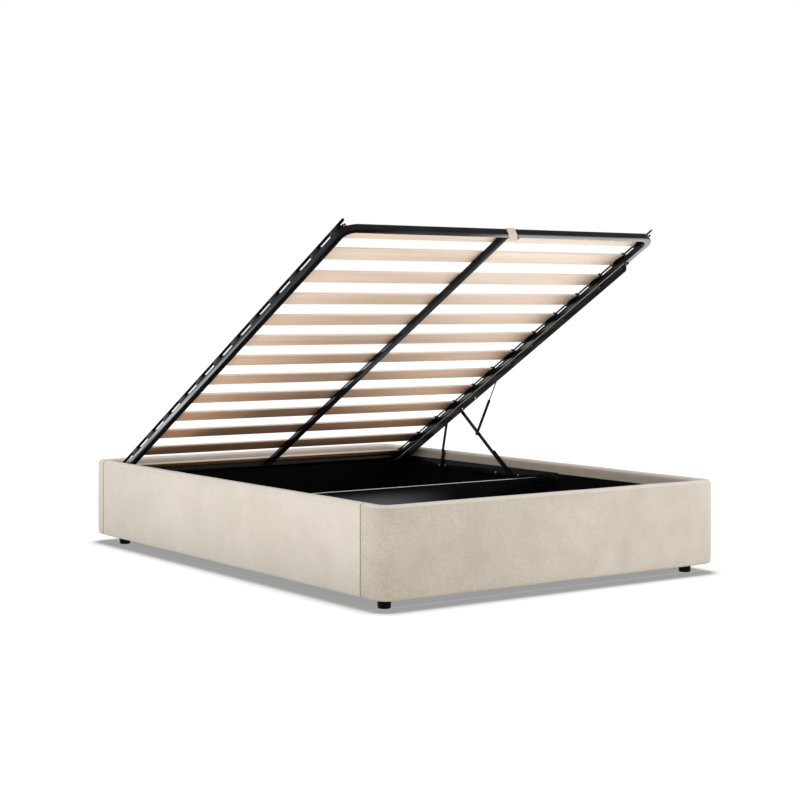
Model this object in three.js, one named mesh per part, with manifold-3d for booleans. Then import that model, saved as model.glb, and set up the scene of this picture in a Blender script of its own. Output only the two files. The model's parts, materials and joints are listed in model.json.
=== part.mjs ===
// Upholstered ottoman storage bed, drawn with its sprung slat frame lifted.
// Millimetres, +Z up, +Y towards the head, origin on the floor under the middle of the bed.
import * as THREE from 'three';
import { mergeVertices } from 'three/addons/utils/BufferGeometryUtils.js';
import Module from 'manifold-3d';

const wasm = await Module();
wasm.setup();

// Upholstered rails
const BED_WIDTH = 1460;
const BED_LENGTH = 2058;
const RIM_HEIGHT = 328;
const FOOT_HEIGHT = 34;
const RAIL_THICKNESS = 36;
const OUTER_CORNER_RADIUS = 55;
const EDGE_ROUNDING = 12;
const FOOT_RAIL_RETURN = 119;
const HEAD_RAIL_RETURN = 88;

// Gap that is kept where two pieces touch, and the length by which a cut runs past its piece
const SEAT_GAP = 0.3;
const OVERRUN = 20;

// Storage base inside the rails
const LINER_THICKNESS = 2;
const INNER_BAND_DEPTH = 38;
const LINER_HINGE_DROP = 66;
const FLOOR_BEARER_DEPTH = 20;
const FLOOR_BEARER_WIDTH = 25;
const FLOOR_PANEL_THICKNESS = 6;
const CORNER_BLOCK_LENGTH = 124;
const CORNER_BLOCK_WIDTH = 84;
const CORNER_BLOCK_CHAMFER = 34;
const CENTRE_BEAM_WIDTH = 45;
const DIVIDER_FROM_FOOT = 922;
const DIVIDER_CLEARANCE = 7;
const DIVIDER_THICKNESS = 15;
const DIVIDER_NOTCH_CLEARANCE = 9;

// Feet
const FOOT_TOP_RADIUS = 25;
const FOOT_BOTTOM_RADIUS = 21;
const FOOT_CHAMFER = 2;
const FOOT_FLANGE = 4;
const FOOT_FROM_SIDE = 73;
const FRONT_FOOT_FROM_END = 91;
const REAR_FOOT_FROM_END = 134;
const MIDDLE_FOOT_SPACING = 960;

// Lift hinge at the head end and how far the slat frame is raised
const HINGE_FROM_HEAD = 155;
const HINGE_BELOW_RIM = 10;
const HINGE_INSET = 40;
const HINGE_RISE = 38;
const LIFT_ANGLE = THREE.MathUtils.degToRad(29.58);
const HINGE_PIN_RADIUS = 5;
const HINGE_PLAY = 0.4;
const EAR_THICKNESS = 2;
const EAR_TOP_RADIUS = 11;
const EAR_FOOT_LENGTH = 64;
const EAR_FOOT_MARGIN = 3;
const BRACKET_THICKNESS = 3;
const BRACKET_WIDTH = 44;
const BRACKET_DROP = 62;
const BRACKET_TOP_RADIUS = 8;

// Steel tube frame. Along the frame u runs from the head end to the foot end, n rises from the
// underside of the tube, and both have their zero at the head end of the tube's underside.
const FRAME_SIDE_CLEARANCE = 4;
const FRAME_END_CLEARANCE = 6;
const TUBE_WIDTH = 26;
const TUBE_DEPTH = 21.6;
const TUBE_WALL = 1.5;
const TUBE_ROUNDING = 2.4;
const FRAME_CORNER_RADIUS = 60;
const TUBE_HEAD_REACH = 27;
const HEAD_TUBE_INSET = 10;
const CENTRE_BAR_WIDTH = 30;
const CENTRE_BAR_DEPTH = 17;
const CENTRE_BAR_LIFT = 5;

// Sprung slats and their holder strips
const SLAT_COUNT = 13;
const FIRST_SLAT_INSET = 48.5;
const END_SLAT_SHIFT = 15;
const LAST_SLAT_INSET = 34.5;
const SLAT_WIDTH = 72;
const SLAT_THICKNESS = 8.5;
const SLAT_ROUNDING = 3;
const SLAT_END_MARGIN = 16;
const SLAT_FIT = 0.3;
const CAP_SEAT_GAP = 0.4;
const CAP_BASE = 3.2;
const CAP_ROOF = 3;
const CAP_SIDE_WALL = 4;
const CAP_REACH = 37;
const CAP_EDGE_REACH = 23;
const CAP_LUG = 12;
const CAP_LUG_WIDTH = 3;
const STRIP_THICKNESS = 6;
const STRIP_HEIGHT = 13.5;
const STRIP_LIFT = 5.5;
const STRIP_TIP_OVERHANG = 3;
const STRIP_TIP_EASE = 9;

// Stop blocks on the foot rail that the closed frame rests on
const REST_BLOCK_X = 250;
const REST_BLOCK_LENGTH = 150;
const REST_BLOCK_WIDTH = 32;
const REST_BLOCK_HEIGHT = 40;

// Pull strap round the foot tube, beside the centre bar and skewed towards it at the front
const STRAP_WIDTH = 38;
const STRAP_THICKNESS = 2.4;
const STRAP_TAIL = 30;
const STRAP_SKEW = 24;

// Lift mechanism on the right side: plates, then pivots, then arms and gas strut
const PLATE_THICKNESS = 3;
const PLATE_DEPTH = 31.5;
const PLATE_HEAD_INSET = 6;
const PLATE_FOOT_INSET = 173;
const PLATE_LEG_WIDTH = 25;
const PLATE_END_RADIUS = 16;
const PLATE_BOLT_RADIUS = 5;
const PLATE_BOLT_HEIGHT = 2;
const PLATE_HOLE_RADIUS = 4;
const MECHANISM_RAIL_THICKNESS = 2.5;
const MECHANISM_RAIL_LENGTH = 993;
const MECHANISM_RAIL_HINGE_INSET = 84;
const MECHANISM_RAIL_BELOW_RIM = 33;
const MECHANISM_RAIL_DEPTH = 55;
const MECHANISM_RAIL_CORNER = 8;
const RAIL_SCREW_RADIUS = 5;
const RAIL_SCREW_HEIGHT = 1.2;
const FRONT_BASE_REACH = 778.8;
const FRONT_BASE_DROP = 52;
const REAR_BASE_REACH = 305.4;
const REAR_BASE_DROP = 50.2;
const FRONT_FRAME_REACH = 528.5;
const REAR_FRAME_REACH = 411;
const STAY_FRAME_DROP = 16;
const STRUT_FRAME_REACH = 831.7;
const STRUT_FRAME_DROP = 14;
const FRONT_LOWER_ARM_LENGTH = 137;
const REAR_LOWER_ARM_LENGTH = 68;
const STRUT_PIVOT_ON_ARM = 151;
const ARM_THICKNESS = 3;
const FRONT_ARM_WIDTH = 14;
const REAR_ARM_WIDTH = 10;
const ARM_RAIL_CLEARANCE = 1.7;
const ARM_SPACING = 2;
const STUD_RADIUS = 4;
const STUD_CLEARANCE = 0.3;
const STUD_HEAD_RADIUS = 6;
const KNEE_RIVET_RADIUS = 4.5;
const STRUT_ARM_CLEARANCE = 2.3;
const STRUT_PLATE_CLEARANCE = 1.7;
const STRUT_BARREL_RADIUS = 5.25;
const STRUT_BORE_RADIUS = 3;
const STRUT_ROD_RADIUS = 2.4;
const STRUT_BARREL_START = 12;
const STRUT_BARREL_END = 166;
const STRUT_BORE_START = 34;
const STRUT_ROD_END = 140;
const STRUT_EYE_RADIUS = 6.5;
const STRUT_EYE_THICKNESS = 6;
const STRUT_PIN_RADIUS = 3;

// Places of the plate's bolts and holes, as shares of its length from its head end and of its depth
const PLATE_BOLT_SHARES = [
  { along: 0.4257, down: 0.4 },
  { along: 0.543, down: 0.43 },
  { along: 0.6365, down: 0.44 },
  { along: 0.76, down: 0.41 },
  { along: 0.905, down: 0.39 },
  { along: 0.987, down: 0.39 },
];
const PLATE_HOLE_SHARES = [
  { along: 0.381, down: 0.78 },
  { along: 0.3225, down: 0.75 },
];

// Places of the rail's screws, as shares of its length from its foot end and of its depth
const RAIL_SCREW_SHARES = [
  { along: 0.8, down: 0.52 },
  { along: 0.754, down: 0.49 },
  { along: 0.402, down: 0.52 },
  { along: 0.255, down: 0.53 },
];

// Facets on round forms
const CORNER_STEPS = 6;
const ROUND_STEPS = 20;
const SMALL_ROUND_STEPS = 12;
const EDGE_STEPS = 3;

// Heights and faces that follow from the sizes above: first the base
const RAIL_INNER_X = BED_WIDTH / 2 - RAIL_THICKNESS;
const RAIL_INNER_Y = BED_LENGTH / 2 - RAIL_THICKNESS;
const INNER_CORNER_RADIUS = OUTER_CORNER_RADIUS - RAIL_THICKNESS;
const BEARER_BOTTOM = FOOT_HEIGHT + SEAT_GAP;
const BEARER_TOP = BEARER_BOTTOM + FLOOR_BEARER_DEPTH;
const FLOOR_BOTTOM = BEARER_TOP + SEAT_GAP;
const FLOOR_TOP = FLOOR_BOTTOM + FLOOR_PANEL_THICKNESS;
const LINER_BOTTOM = FLOOR_TOP + SEAT_GAP;
const LINER_TOP = RIM_HEIGHT - INNER_BAND_DEPTH;
const DIVIDER_Y = DIVIDER_FROM_FOOT - BED_LENGTH / 2;

// Then the slat frame, which fits the opening between the rails
const HINGE_Y = BED_LENGTH / 2 - HINGE_FROM_HEAD;
const HINGE_Z = RIM_HEIGHT - HINGE_BELOW_RIM;
const LOWERED_FRAME_Z = HINGE_Z - HINGE_RISE;
const DIVIDER_TOP = LOWERED_FRAME_Z - DIVIDER_CLEARANCE;
const FRAME_HALF = RAIL_INNER_X - FRAME_SIDE_CLEARANCE;
const FRAME_LENGTH = HINGE_Y + HINGE_INSET + RAIL_INNER_Y - FRAME_END_CLEARANCE;
const TUBE_INNER_X = FRAME_HALF - TUBE_WIDTH;
const FIRST_SLAT_U = FRAME_LENGTH - FIRST_SLAT_INSET;
const SLAT_PITCH = (FIRST_SLAT_U - LAST_SLAT_INSET) / (SLAT_COUNT - 1);
const SLAT_HALF_LENGTH = FRAME_HALF - SLAT_END_MARGIN;
const CAP_BOTTOM = TUBE_DEPTH + CAP_SEAT_GAP;
const SLAT_BOTTOM = CAP_BOTTOM + CAP_BASE + SLAT_FIT;
const STRIP_BOTTOM = CAP_BOTTOM + STRIP_LIFT;
const BRACKET_INNER_X = FRAME_HALF + SEAT_GAP + EAR_THICKNESS + HINGE_PLAY;

// And the lift mechanism, in planes side by side from the rail to the plate
const MECHANISM_RAIL_HEAD_Y = HINGE_Y - MECHANISM_RAIL_HINGE_INSET;
const MECHANISM_RAIL_FOOT_Y = MECHANISM_RAIL_HEAD_Y - MECHANISM_RAIL_LENGTH;
const MECHANISM_RAIL_TOP = RIM_HEIGHT - MECHANISM_RAIL_BELOW_RIM;
const MECHANISM_RAIL_OUTER_X = RAIL_INNER_X - SEAT_GAP;
const MECHANISM_RAIL_INNER_X = MECHANISM_RAIL_OUTER_X - MECHANISM_RAIL_THICKNESS;
const LOWER_ARM_X = MECHANISM_RAIL_INNER_X - ARM_RAIL_CLEARANCE - ARM_THICKNESS;
const UPPER_ARM_X = LOWER_ARM_X - ARM_SPACING - ARM_THICKNESS;
const STUD_HEAD_THICKNESS = ARM_SPACING - 2 * SEAT_GAP;
const STRUT_X = UPPER_ARM_X - STRUT_ARM_CLEARANCE - STRUT_BARREL_RADIUS;
const PLATE_X = STRUT_X - STRUT_BARREL_RADIUS - STRUT_PLATE_CLEARANCE - PLATE_THICKNESS;
const PLATE_FOOT_U = FRAME_LENGTH - PLATE_FOOT_INSET;
const FRONT_BASE_PIVOT = { y: HINGE_Y - FRONT_BASE_REACH, z: HINGE_Z - FRONT_BASE_DROP };
const REAR_BASE_PIVOT = { y: HINGE_Y - REAR_BASE_REACH, z: HINGE_Z - REAR_BASE_DROP };
const FRONT_FRAME_PIVOT = { u: FRONT_FRAME_REACH, n: -STAY_FRAME_DROP };
const REAR_FRAME_PIVOT = { u: REAR_FRAME_REACH, n: -STAY_FRAME_DROP };
const STRUT_FRAME_PIVOT = { u: STRUT_FRAME_REACH, n: -STRUT_FRAME_DROP };

// Materials
function fabric() {
  return new THREE.MeshStandardMaterial({ color: 0xd2c9bc, roughness: 0.9, metalness: 0 });
}

function blackSteel() {
  return new THREE.MeshStandardMaterial({ color: 0x141516, roughness: 0.3, metalness: 0.6 });
}

function zincSteel() {
  return new THREE.MeshStandardMaterial({ color: 0x8e9092, roughness: 0.35, metalness: 0.9 });
}

function birch() {
  return new THREE.MeshStandardMaterial({ color: 0xdcc3a4, roughness: 0.5, metalness: 0 });
}

function blackPlastic() {
  return new THREE.MeshStandardMaterial({ color: 0x1b1a1a, roughness: 0.5, metalness: 0 });
}

function linerBoard() {
  return new THREE.MeshStandardMaterial({ color: 0x0c0c0d, roughness: 0.8, metalness: 0 });
}

function pineWood() {
  return new THREE.MeshStandardMaterial({ color: 0xc7a87c, roughness: 0.7, metalness: 0 });
}

function webbing() {
  return new THREE.MeshStandardMaterial({ color: 0xd8d0c2, roughness: 0.9, metalness: 0 });
}

// Solid operations
function solidOf(geometry) {
  const bare = geometry.clone();
  bare.deleteAttribute('normal');
  bare.deleteAttribute('uv');
  const welded = mergeVertices(bare);
  return new wasm.Manifold(
    new wasm.Mesh({
      numProp: 3,
      vertProperties: new Float32Array(welded.attributes.position.array),
      triVerts: new Uint32Array(welded.index.array),
    }),
  );
}

function geometryOf(solid) {
  const mesh = solid.getMesh();
  const geometry = new THREE.BufferGeometry();
  geometry.setAttribute('position', new THREE.BufferAttribute(mesh.vertProperties, mesh.numProp));
  geometry.setIndex(new THREE.BufferAttribute(mesh.triVerts, 1));
  geometry.computeVertexNormals();
  return geometry;
}

function joined(geometries) {
  const solids = geometries.map(solidOf);
  return geometryOf(solids.reduce((sum, solid) => sum.add(solid)));
}

function without(geometry, cutters) {
  const solids = cutters.map(solidOf);
  return geometryOf(solids.reduce((rest, solid) => rest.subtract(solid), solidOf(geometry)));
}

function common(geometryA, geometryB) {
  return geometryOf(solidOf(geometryA).intersect(solidOf(geometryB)));
}

// Outlines and the forms made from them
function block(x, y, z) {
  const sizes = [x, y, z].map(([from, to]) => Math.abs(to - from));
  const geometry = new THREE.BoxGeometry(...sizes);
  geometry.translate((x[0] + x[1]) / 2, (y[0] + y[1]) / 2, (z[0] + z[1]) / 2);
  return geometry;
}

function roundedRectangle(left, right, bottom, top, radius, path = new THREE.Shape()) {
  const quarter = Math.PI / 2;
  path.moveTo(left + radius, bottom);
  path.absarc(right - radius, bottom + radius, radius, -quarter, 0, false);
  path.absarc(right - radius, top - radius, radius, 0, quarter, false);
  path.absarc(left + radius, top - radius, radius, quarter, 2 * quarter, false);
  path.absarc(left + radius, bottom + radius, radius, 2 * quarter, 3 * quarter, false);
  path.closePath();
  return path;
}

function outlineOf(points) {
  return new THREE.Shape(points.map(([x, y]) => new THREE.Vector2(x, y)));
}

function extrudedUp(shape, bottom, top, steps = CORNER_STEPS) {
  const geometry = new THREE.ExtrudeGeometry(shape, {
    depth: top - bottom,
    bevelEnabled: false,
    curveSegments: steps,
  });
  geometry.translate(0, 0, bottom);
  return geometry;
}

function extrudedUpRounded(shape, bottom, top, rounding, steps = CORNER_STEPS) {
  const geometry = new THREE.ExtrudeGeometry(shape, {
    depth: top - bottom - 2 * rounding,
    bevelEnabled: true,
    bevelThickness: rounding,
    bevelSize: rounding,
    bevelOffset: -rounding,
    bevelSegments: EDGE_STEPS,
    curveSegments: steps,
  });
  geometry.translate(0, 0, bottom + rounding);
  return geometry;
}

// The outline lies in y and z, the extrusion runs along x
function extrudedAcross(shape, fromX, toX, steps = CORNER_STEPS) {
  const geometry = extrudedUp(shape, Math.min(fromX, toX), Math.max(fromX, toX), steps);
  const turn = new THREE.Matrix4().makeBasis(
    new THREE.Vector3(0, 1, 0),
    new THREE.Vector3(0, 0, 1),
    new THREE.Vector3(1, 0, 0),
  );
  return geometry.applyMatrix4(turn);
}

// The outline lies in x and z, the extrusion runs along u, which is minus y
function extrudedAlong(shape, fromU, toU, steps = CORNER_STEPS) {
  const geometry = extrudedUp(shape, fromU, toU, steps);
  const turn = new THREE.Matrix4().makeBasis(
    new THREE.Vector3(1, 0, 0),
    new THREE.Vector3(0, 0, 1),
    new THREE.Vector3(0, -1, 0),
  );
  return geometry.applyMatrix4(turn);
}

function disc(y, z, radius, fromX, toX, steps = SMALL_ROUND_STEPS) {
  const geometry = new THREE.CylinderGeometry(radius, radius, Math.abs(toX - fromX), steps);
  geometry.rotateZ(Math.PI / 2);
  geometry.translate((fromX + toX) / 2, y, z);
  return geometry;
}

function addPiece(parent, name, geometry, material) {
  const mesh = new THREE.Mesh(geometry, material);
  mesh.name = name;
  parent.add(mesh);
  return mesh;
}

// Rim of the four upholstered rails, cut at the seams in the fabric
function wholeRim() {
  const shape = roundedRectangle(
    -BED_WIDTH / 2, BED_WIDTH / 2, -BED_LENGTH / 2, BED_LENGTH / 2, OUTER_CORNER_RADIUS,
  );
  const opening = roundedRectangle(
    -RAIL_INNER_X, RAIL_INNER_X, -RAIL_INNER_Y, RAIL_INNER_Y, INNER_CORNER_RADIUS, new THREE.Path(),
  );
  shape.holes.push(opening);
  return extrudedUpRounded(shape, FOOT_HEIGHT, RIM_HEIGHT, EDGE_ROUNDING);
}

function hingeBracketOutline(margin) {
  const half = BRACKET_WIDTH / 2 + margin;
  const radius = BRACKET_TOP_RADIUS + margin;
  const shape = new THREE.Shape();
  shape.moveTo(HINGE_Y - half, HINGE_Z - BRACKET_DROP - margin);
  shape.lineTo(HINGE_Y + half, HINGE_Z - BRACKET_DROP - margin);
  shape.lineTo(HINGE_Y + half, HINGE_Z - BRACKET_DROP / 2);
  shape.absarc(HINGE_Y, HINGE_Z, radius, 0, Math.PI, false);
  shape.lineTo(HINGE_Y - half, HINGE_Z - BRACKET_DROP / 2);
  shape.closePath();
  return shape;
}

function addRails(parent) {
  const rim = wholeRim();
  const height = [FOOT_HEIGHT - OVERRUN, RIM_HEIGHT + OVERRUN];
  const footSeam = -BED_LENGTH / 2 + FOOT_RAIL_RETURN;
  const headSeam = BED_LENGTH / 2 - HEAD_RAIL_RETURN;
  const across = [-BED_WIDTH / 2 - OVERRUN, BED_WIDTH / 2 + OVERRUN];
  const footSpan = [-BED_LENGTH / 2 - OVERRUN, footSeam - SEAT_GAP / 2];
  const sideSpan = [footSeam + SEAT_GAP / 2, headSeam - SEAT_GAP / 2];
  const headSpan = [headSeam + SEAT_GAP / 2, BED_LENGTH / 2 + OVERRUN];
  addPiece(parent, 'foot_rail', common(rim, block(across, footSpan, height)), fabric());
  addPiece(parent, 'head_rail', common(rim, block(across, headSpan, height)), fabric());
  for (const [name, side] of [['left', -1], ['right', 1]]) {
    const half = common(rim, block([0, side * across[1]], sideSpan, height));
    const recess = extrudedAcross(
      hingeBracketOutline(SEAT_GAP),
      side * (BRACKET_INNER_X - OVERRUN),
      side * (BRACKET_INNER_X + BRACKET_THICKNESS + SEAT_GAP),
    );
    addPiece(parent, `${name}_side_rail`, without(half, [recess]), fabric());
  }
}

// Black boards that line the storage space below the fabric band
function addLiners(parent) {
  const endX = RAIL_INNER_X - INNER_CORNER_RADIUS;
  const endY = RAIL_INNER_Y - INNER_CORNER_RADIUS;
  for (const [name, end] of [['foot', -1], ['head', 1]]) {
    const outer = end * (RAIL_INNER_Y - SEAT_GAP);
    const inner = end * (RAIL_INNER_Y - SEAT_GAP - LINER_THICKNESS);
    const board = block([-endX, endX], [inner, outer], [LINER_BOTTOM, LINER_TOP]);
    addPiece(parent, `${name}_liner`, board, linerBoard());
  }
  const hingeStep = HINGE_Y - HINGE_PIN_RADIUS - EAR_FOOT_LENGTH;
  const lowTop = LINER_TOP - LINER_HINGE_DROP;
  for (const [name, side] of [['left', -1], ['right', 1]]) {
    const points = [[-endY, LINER_BOTTOM], [endY, LINER_BOTTOM], [endY, lowTop], [hingeStep, lowTop]];
    if (side > 0) {
      const notchBottom = MECHANISM_RAIL_TOP - MECHANISM_RAIL_DEPTH - SEAT_GAP;
      points.push([hingeStep, notchBottom]);
      points.push([MECHANISM_RAIL_FOOT_Y - SEAT_GAP, notchBottom]);
      points.push([MECHANISM_RAIL_FOOT_Y - SEAT_GAP, LINER_TOP]);
    } else {
      points.push([hingeStep, LINER_TOP]);
    }
    points.push([-endY, LINER_TOP]);
    const outer = side * (RAIL_INNER_X - SEAT_GAP);
    const inner = side * (RAIL_INNER_X - SEAT_GAP - LINER_THICKNESS);
    addPiece(parent, `${name}_liner`, extrudedAcross(outlineOf(points), inner, outer), linerBoard());
  }
}

// Space between the rails in plan, as a solid of the given height
function innerPlan(bottom, top) {
  const x = RAIL_INNER_X - SEAT_GAP;
  const y = RAIL_INNER_Y - SEAT_GAP;
  return extrudedUp(roundedRectangle(-x, x, -y, y, INNER_CORNER_RADIUS), bottom, top);
}

function addFloor(parent) {
  const plan = innerPlan(FLOOR_BOTTOM, FLOOR_TOP);
  const across = [-BED_WIDTH / 2, BED_WIDTH / 2];
  const height = [FLOOR_BOTTOM - OVERRUN, FLOOR_TOP + OVERRUN];
  const footPart = block(across, [-BED_LENGTH / 2, DIVIDER_Y - SEAT_GAP / 2], height);
  const headPart = block(across, [DIVIDER_Y + SEAT_GAP / 2, BED_LENGTH / 2], height);
  addPiece(parent, 'floor_panel_foot', common(plan, footPart), linerBoard());
  addPiece(parent, 'floor_panel_head', common(plan, headPart), linerBoard());
}

function addFloorBearers(parent) {
  const plan = innerPlan(BEARER_BOTTOM, BEARER_TOP);
  const x = RAIL_INNER_X;
  const y = RAIL_INNER_Y;
  for (const [endName, end] of [['foot', -1], ['head', 1]]) {
    for (const [sideName, side] of [['left', -1], ['right', 1]]) {
      const outline = outlineOf([
        [side * (x + OVERRUN), end * (y + OVERRUN)],
        [side * (x - CORNER_BLOCK_WIDTH), end * (y + OVERRUN)],
        [side * (x - CORNER_BLOCK_WIDTH), end * (y - CORNER_BLOCK_LENGTH + CORNER_BLOCK_CHAMFER)],
        [side * (x - CORNER_BLOCK_WIDTH + CORNER_BLOCK_CHAMFER), end * (y - CORNER_BLOCK_LENGTH)],
        [side * (x + OVERRUN), end * (y - CORNER_BLOCK_LENGTH)],
      ]);
      const cutter = extrudedUp(outline, BEARER_BOTTOM - OVERRUN, BEARER_TOP + OVERRUN);
      addPiece(parent, `corner_block_${endName}_${sideName}`, common(plan, cutter), pineWood());
    }
  }
  const span = y - CORNER_BLOCK_LENGTH - SEAT_GAP;
  const height = [BEARER_BOTTOM, BEARER_TOP];
  for (const [name, side] of [['left', -1], ['right', 1]]) {
    const outer = side * (x - SEAT_GAP);
    const inner = side * (x - SEAT_GAP - FLOOR_BEARER_WIDTH);
    addPiece(parent, `floor_bearer_${name}`, block([inner, outer], [-span, span], height), pineWood());
  }
  const half = CENTRE_BEAM_WIDTH / 2;
  const reach = y - SEAT_GAP;
  addPiece(parent, 'centre_floor_beam', block([-half, half], [-reach, reach], height), pineWood());
}

// Board across the storage space, notched at both ends for the plate of the lowered frame
function addDivider(parent) {
  const x = MECHANISM_RAIL_INNER_X - SEAT_GAP;
  const notch = LOWERED_FRAME_Z - PLATE_DEPTH - DIVIDER_NOTCH_CLEARANCE;
  const shoulder = PLATE_X - DIVIDER_NOTCH_CLEARANCE;
  const outline = outlineOf([
    [-x, LINER_BOTTOM],
    [x, LINER_BOTTOM],
    [x, notch],
    [shoulder, notch],
    [shoulder, DIVIDER_TOP],
    [-shoulder, DIVIDER_TOP],
    [-shoulder, notch],
    [-x, notch],
  ]);
  const start = -DIVIDER_Y - DIVIDER_THICKNESS / 2;
  const board = extrudedAlong(outline, start, start + DIVIDER_THICKNESS);
  addPiece(parent, 'cross_divider', board, linerBoard());
}

function footGeometry() {
  const profile = [
    new THREE.Vector2(0, 0),
    new THREE.Vector2(FOOT_BOTTOM_RADIUS - FOOT_CHAMFER, 0),
    new THREE.Vector2(FOOT_BOTTOM_RADIUS, FOOT_CHAMFER),
    new THREE.Vector2(FOOT_TOP_RADIUS - FOOT_CHAMFER, FOOT_HEIGHT - FOOT_FLANGE),
    new THREE.Vector2(FOOT_TOP_RADIUS, FOOT_HEIGHT - FOOT_FLANGE),
    new THREE.Vector2(FOOT_TOP_RADIUS, FOOT_HEIGHT),
    new THREE.Vector2(0, FOOT_HEIGHT),
  ];
  return new THREE.LatheGeometry(profile, ROUND_STEPS).rotateX(Math.PI / 2);
}

function addFeet(parent) {
  const x = BED_WIDTH / 2 - FOOT_FROM_SIDE;
  const places = {
    foot_front_left: [-x, -BED_LENGTH / 2 + FRONT_FOOT_FROM_END],
    foot_front_right: [x, -BED_LENGTH / 2 + FRONT_FOOT_FROM_END],
    foot_rear_left: [-x, BED_LENGTH / 2 - REAR_FOOT_FROM_END],
    foot_rear_right: [x, BED_LENGTH / 2 - REAR_FOOT_FROM_END],
    foot_middle_front: [0, -MIDDLE_FOOT_SPACING / 2],
    foot_middle_rear: [0, MIDDLE_FOOT_SPACING / 2],
  };
  for (const [name, place] of Object.entries(places)) {
    addPiece(parent, name, footGeometry(), blackPlastic()).position.set(place[0], place[1], 0);
  }
}

function addRestBlocks(parent) {
  const back = -RAIL_INNER_Y + SEAT_GAP + LINER_THICKNESS + SEAT_GAP;
  const top = LOWERED_FRAME_Z - SEAT_GAP;
  for (const [name, side] of [['left', -1], ['right', 1]]) {
    const x = [side * REST_BLOCK_X, side * (REST_BLOCK_X + REST_BLOCK_LENGTH)];
    const shape = block(x, [back, back + REST_BLOCK_WIDTH], [top - REST_BLOCK_HEIGHT, top]);
    addPiece(parent, `${name}_rest_block`, shape, pineWood());
  }
}

// Fixed halves of the two lift hinges, let into the side rails
function addHingeBrackets(parent) {
  const inner = BRACKET_INNER_X;
  const outer = inner + BRACKET_THICKNESS;
  const pinEnd = FRAME_HALF + SEAT_GAP + SEAT_GAP / 2;
  for (const [name, side] of [['left', -1], ['right', 1]]) {
    const plate = extrudedAcross(hingeBracketOutline(0), side * inner, side * outer);
    const hole = disc(
      HINGE_Y, HINGE_Z, HINGE_PIN_RADIUS + SEAT_GAP,
      side * (inner - OVERRUN), side * (inner + OVERRUN), ROUND_STEPS,
    );
    addPiece(parent, `${name}_hinge_bracket`, without(plate, [hole]), blackSteel());
    const pin = disc(0, 0, HINGE_PIN_RADIUS, side * pinEnd, side * outer, ROUND_STEPS);
    addPiece(parent, `${name}_hinge_pin`, pin, zincSteel()).position.set(0, HINGE_Y, HINGE_Z);
  }
}

// Stud with a washer against its plate and a flat head past the arm that turns on it
function stud(y, z, plateX, armX, radius, thickness = ARM_THICKNESS) {
  const inward = Math.sign(armX - plateX);
  const near = inward > 0 ? armX : armX + thickness;
  const far = inward > 0 ? armX + thickness : armX;
  const bury = inward * SEAT_GAP;
  const washerEnd = near - inward * SEAT_GAP;
  const headStart = far + inward * SEAT_GAP;
  const headEnd = headStart + inward * STUD_HEAD_THICKNESS;
  return [
    disc(y, z, STUD_HEAD_RADIUS, plateX - bury, washerEnd),
    disc(y, z, radius, plateX - bury, headEnd),
    disc(y, z, STUD_HEAD_RADIUS, headStart, headEnd),
  ];
}

// Steel rail screwed to the right side, with the two pivots of the folding stays
function addMechanismRail(parent) {
  const plate = extrudedAcross(
    roundedRectangle(
      MECHANISM_RAIL_FOOT_Y, MECHANISM_RAIL_HEAD_Y,
      MECHANISM_RAIL_TOP - MECHANISM_RAIL_DEPTH, MECHANISM_RAIL_TOP, MECHANISM_RAIL_CORNER,
    ),
    MECHANISM_RAIL_INNER_X,
    MECHANISM_RAIL_OUTER_X,
  );
  const parts = [plate];
  const screwTop = MECHANISM_RAIL_INNER_X - RAIL_SCREW_HEIGHT;
  for (const { along, down } of RAIL_SCREW_SHARES) {
    const y = MECHANISM_RAIL_FOOT_Y + along * MECHANISM_RAIL_LENGTH;
    const z = MECHANISM_RAIL_TOP - down * MECHANISM_RAIL_DEPTH;
    parts.push(disc(y, z, RAIL_SCREW_RADIUS, screwTop, MECHANISM_RAIL_INNER_X + SEAT_GAP));
  }
  for (const pivot of [FRONT_BASE_PIVOT, REAR_BASE_PIVOT]) {
    parts.push(...stud(pivot.y, pivot.z, MECHANISM_RAIL_INNER_X, LOWER_ARM_X, STUD_RADIUS));
  }
  addPiece(parent, 'mechanism_rail', joined(parts), blackSteel());
}

// Outline in plan of a rail bent into a U, open towards the head
function bentOutline(halfWidth, footU, radius, headU) {
  const quarter = Math.PI / 2;
  const shape = new THREE.Path();
  shape.moveTo(halfWidth, -headU);
  shape.absarc(halfWidth - radius, -footU + radius, radius, 0, -quarter, true);
  shape.absarc(-halfWidth + radius, -footU + radius, radius, -quarter, -2 * quarter, true);
  shape.lineTo(-halfWidth, -headU);
  return shape.getPoints(CORNER_STEPS);
}

function bentTubeShape(inset, headU) {
  const outerRadius = FRAME_CORNER_RADIUS - inset;
  const innerRadius = FRAME_CORNER_RADIUS - TUBE_WIDTH + inset;
  const outer = bentOutline(FRAME_HALF - inset, FRAME_LENGTH - inset, outerRadius, headU);
  const inner = bentOutline(TUBE_INNER_X + inset, FRAME_LENGTH - TUBE_WIDTH + inset, innerRadius, headU);
  return new THREE.Shape([...outer, ...inner.reverse()]);
}

function addPerimeterTube(parent) {
  const headU = -TUBE_HEAD_REACH;
  const skin = extrudedUpRounded(bentTubeShape(0, headU - OVERRUN), 0, TUBE_DEPTH, TUBE_ROUNDING);
  const bore = extrudedUp(bentTubeShape(TUBE_WALL, headU - OVERRUN), TUBE_WALL, TUBE_DEPTH - TUBE_WALL);
  const trim = block(
    [-BED_WIDTH, BED_WIDTH], [-headU, -headU + 2 * OVERRUN], [-OVERRUN, TUBE_DEPTH + OVERRUN],
  );
  addPiece(parent, 'perimeter_tube', without(skin, [bore, trim]), blackSteel());
}

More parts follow.
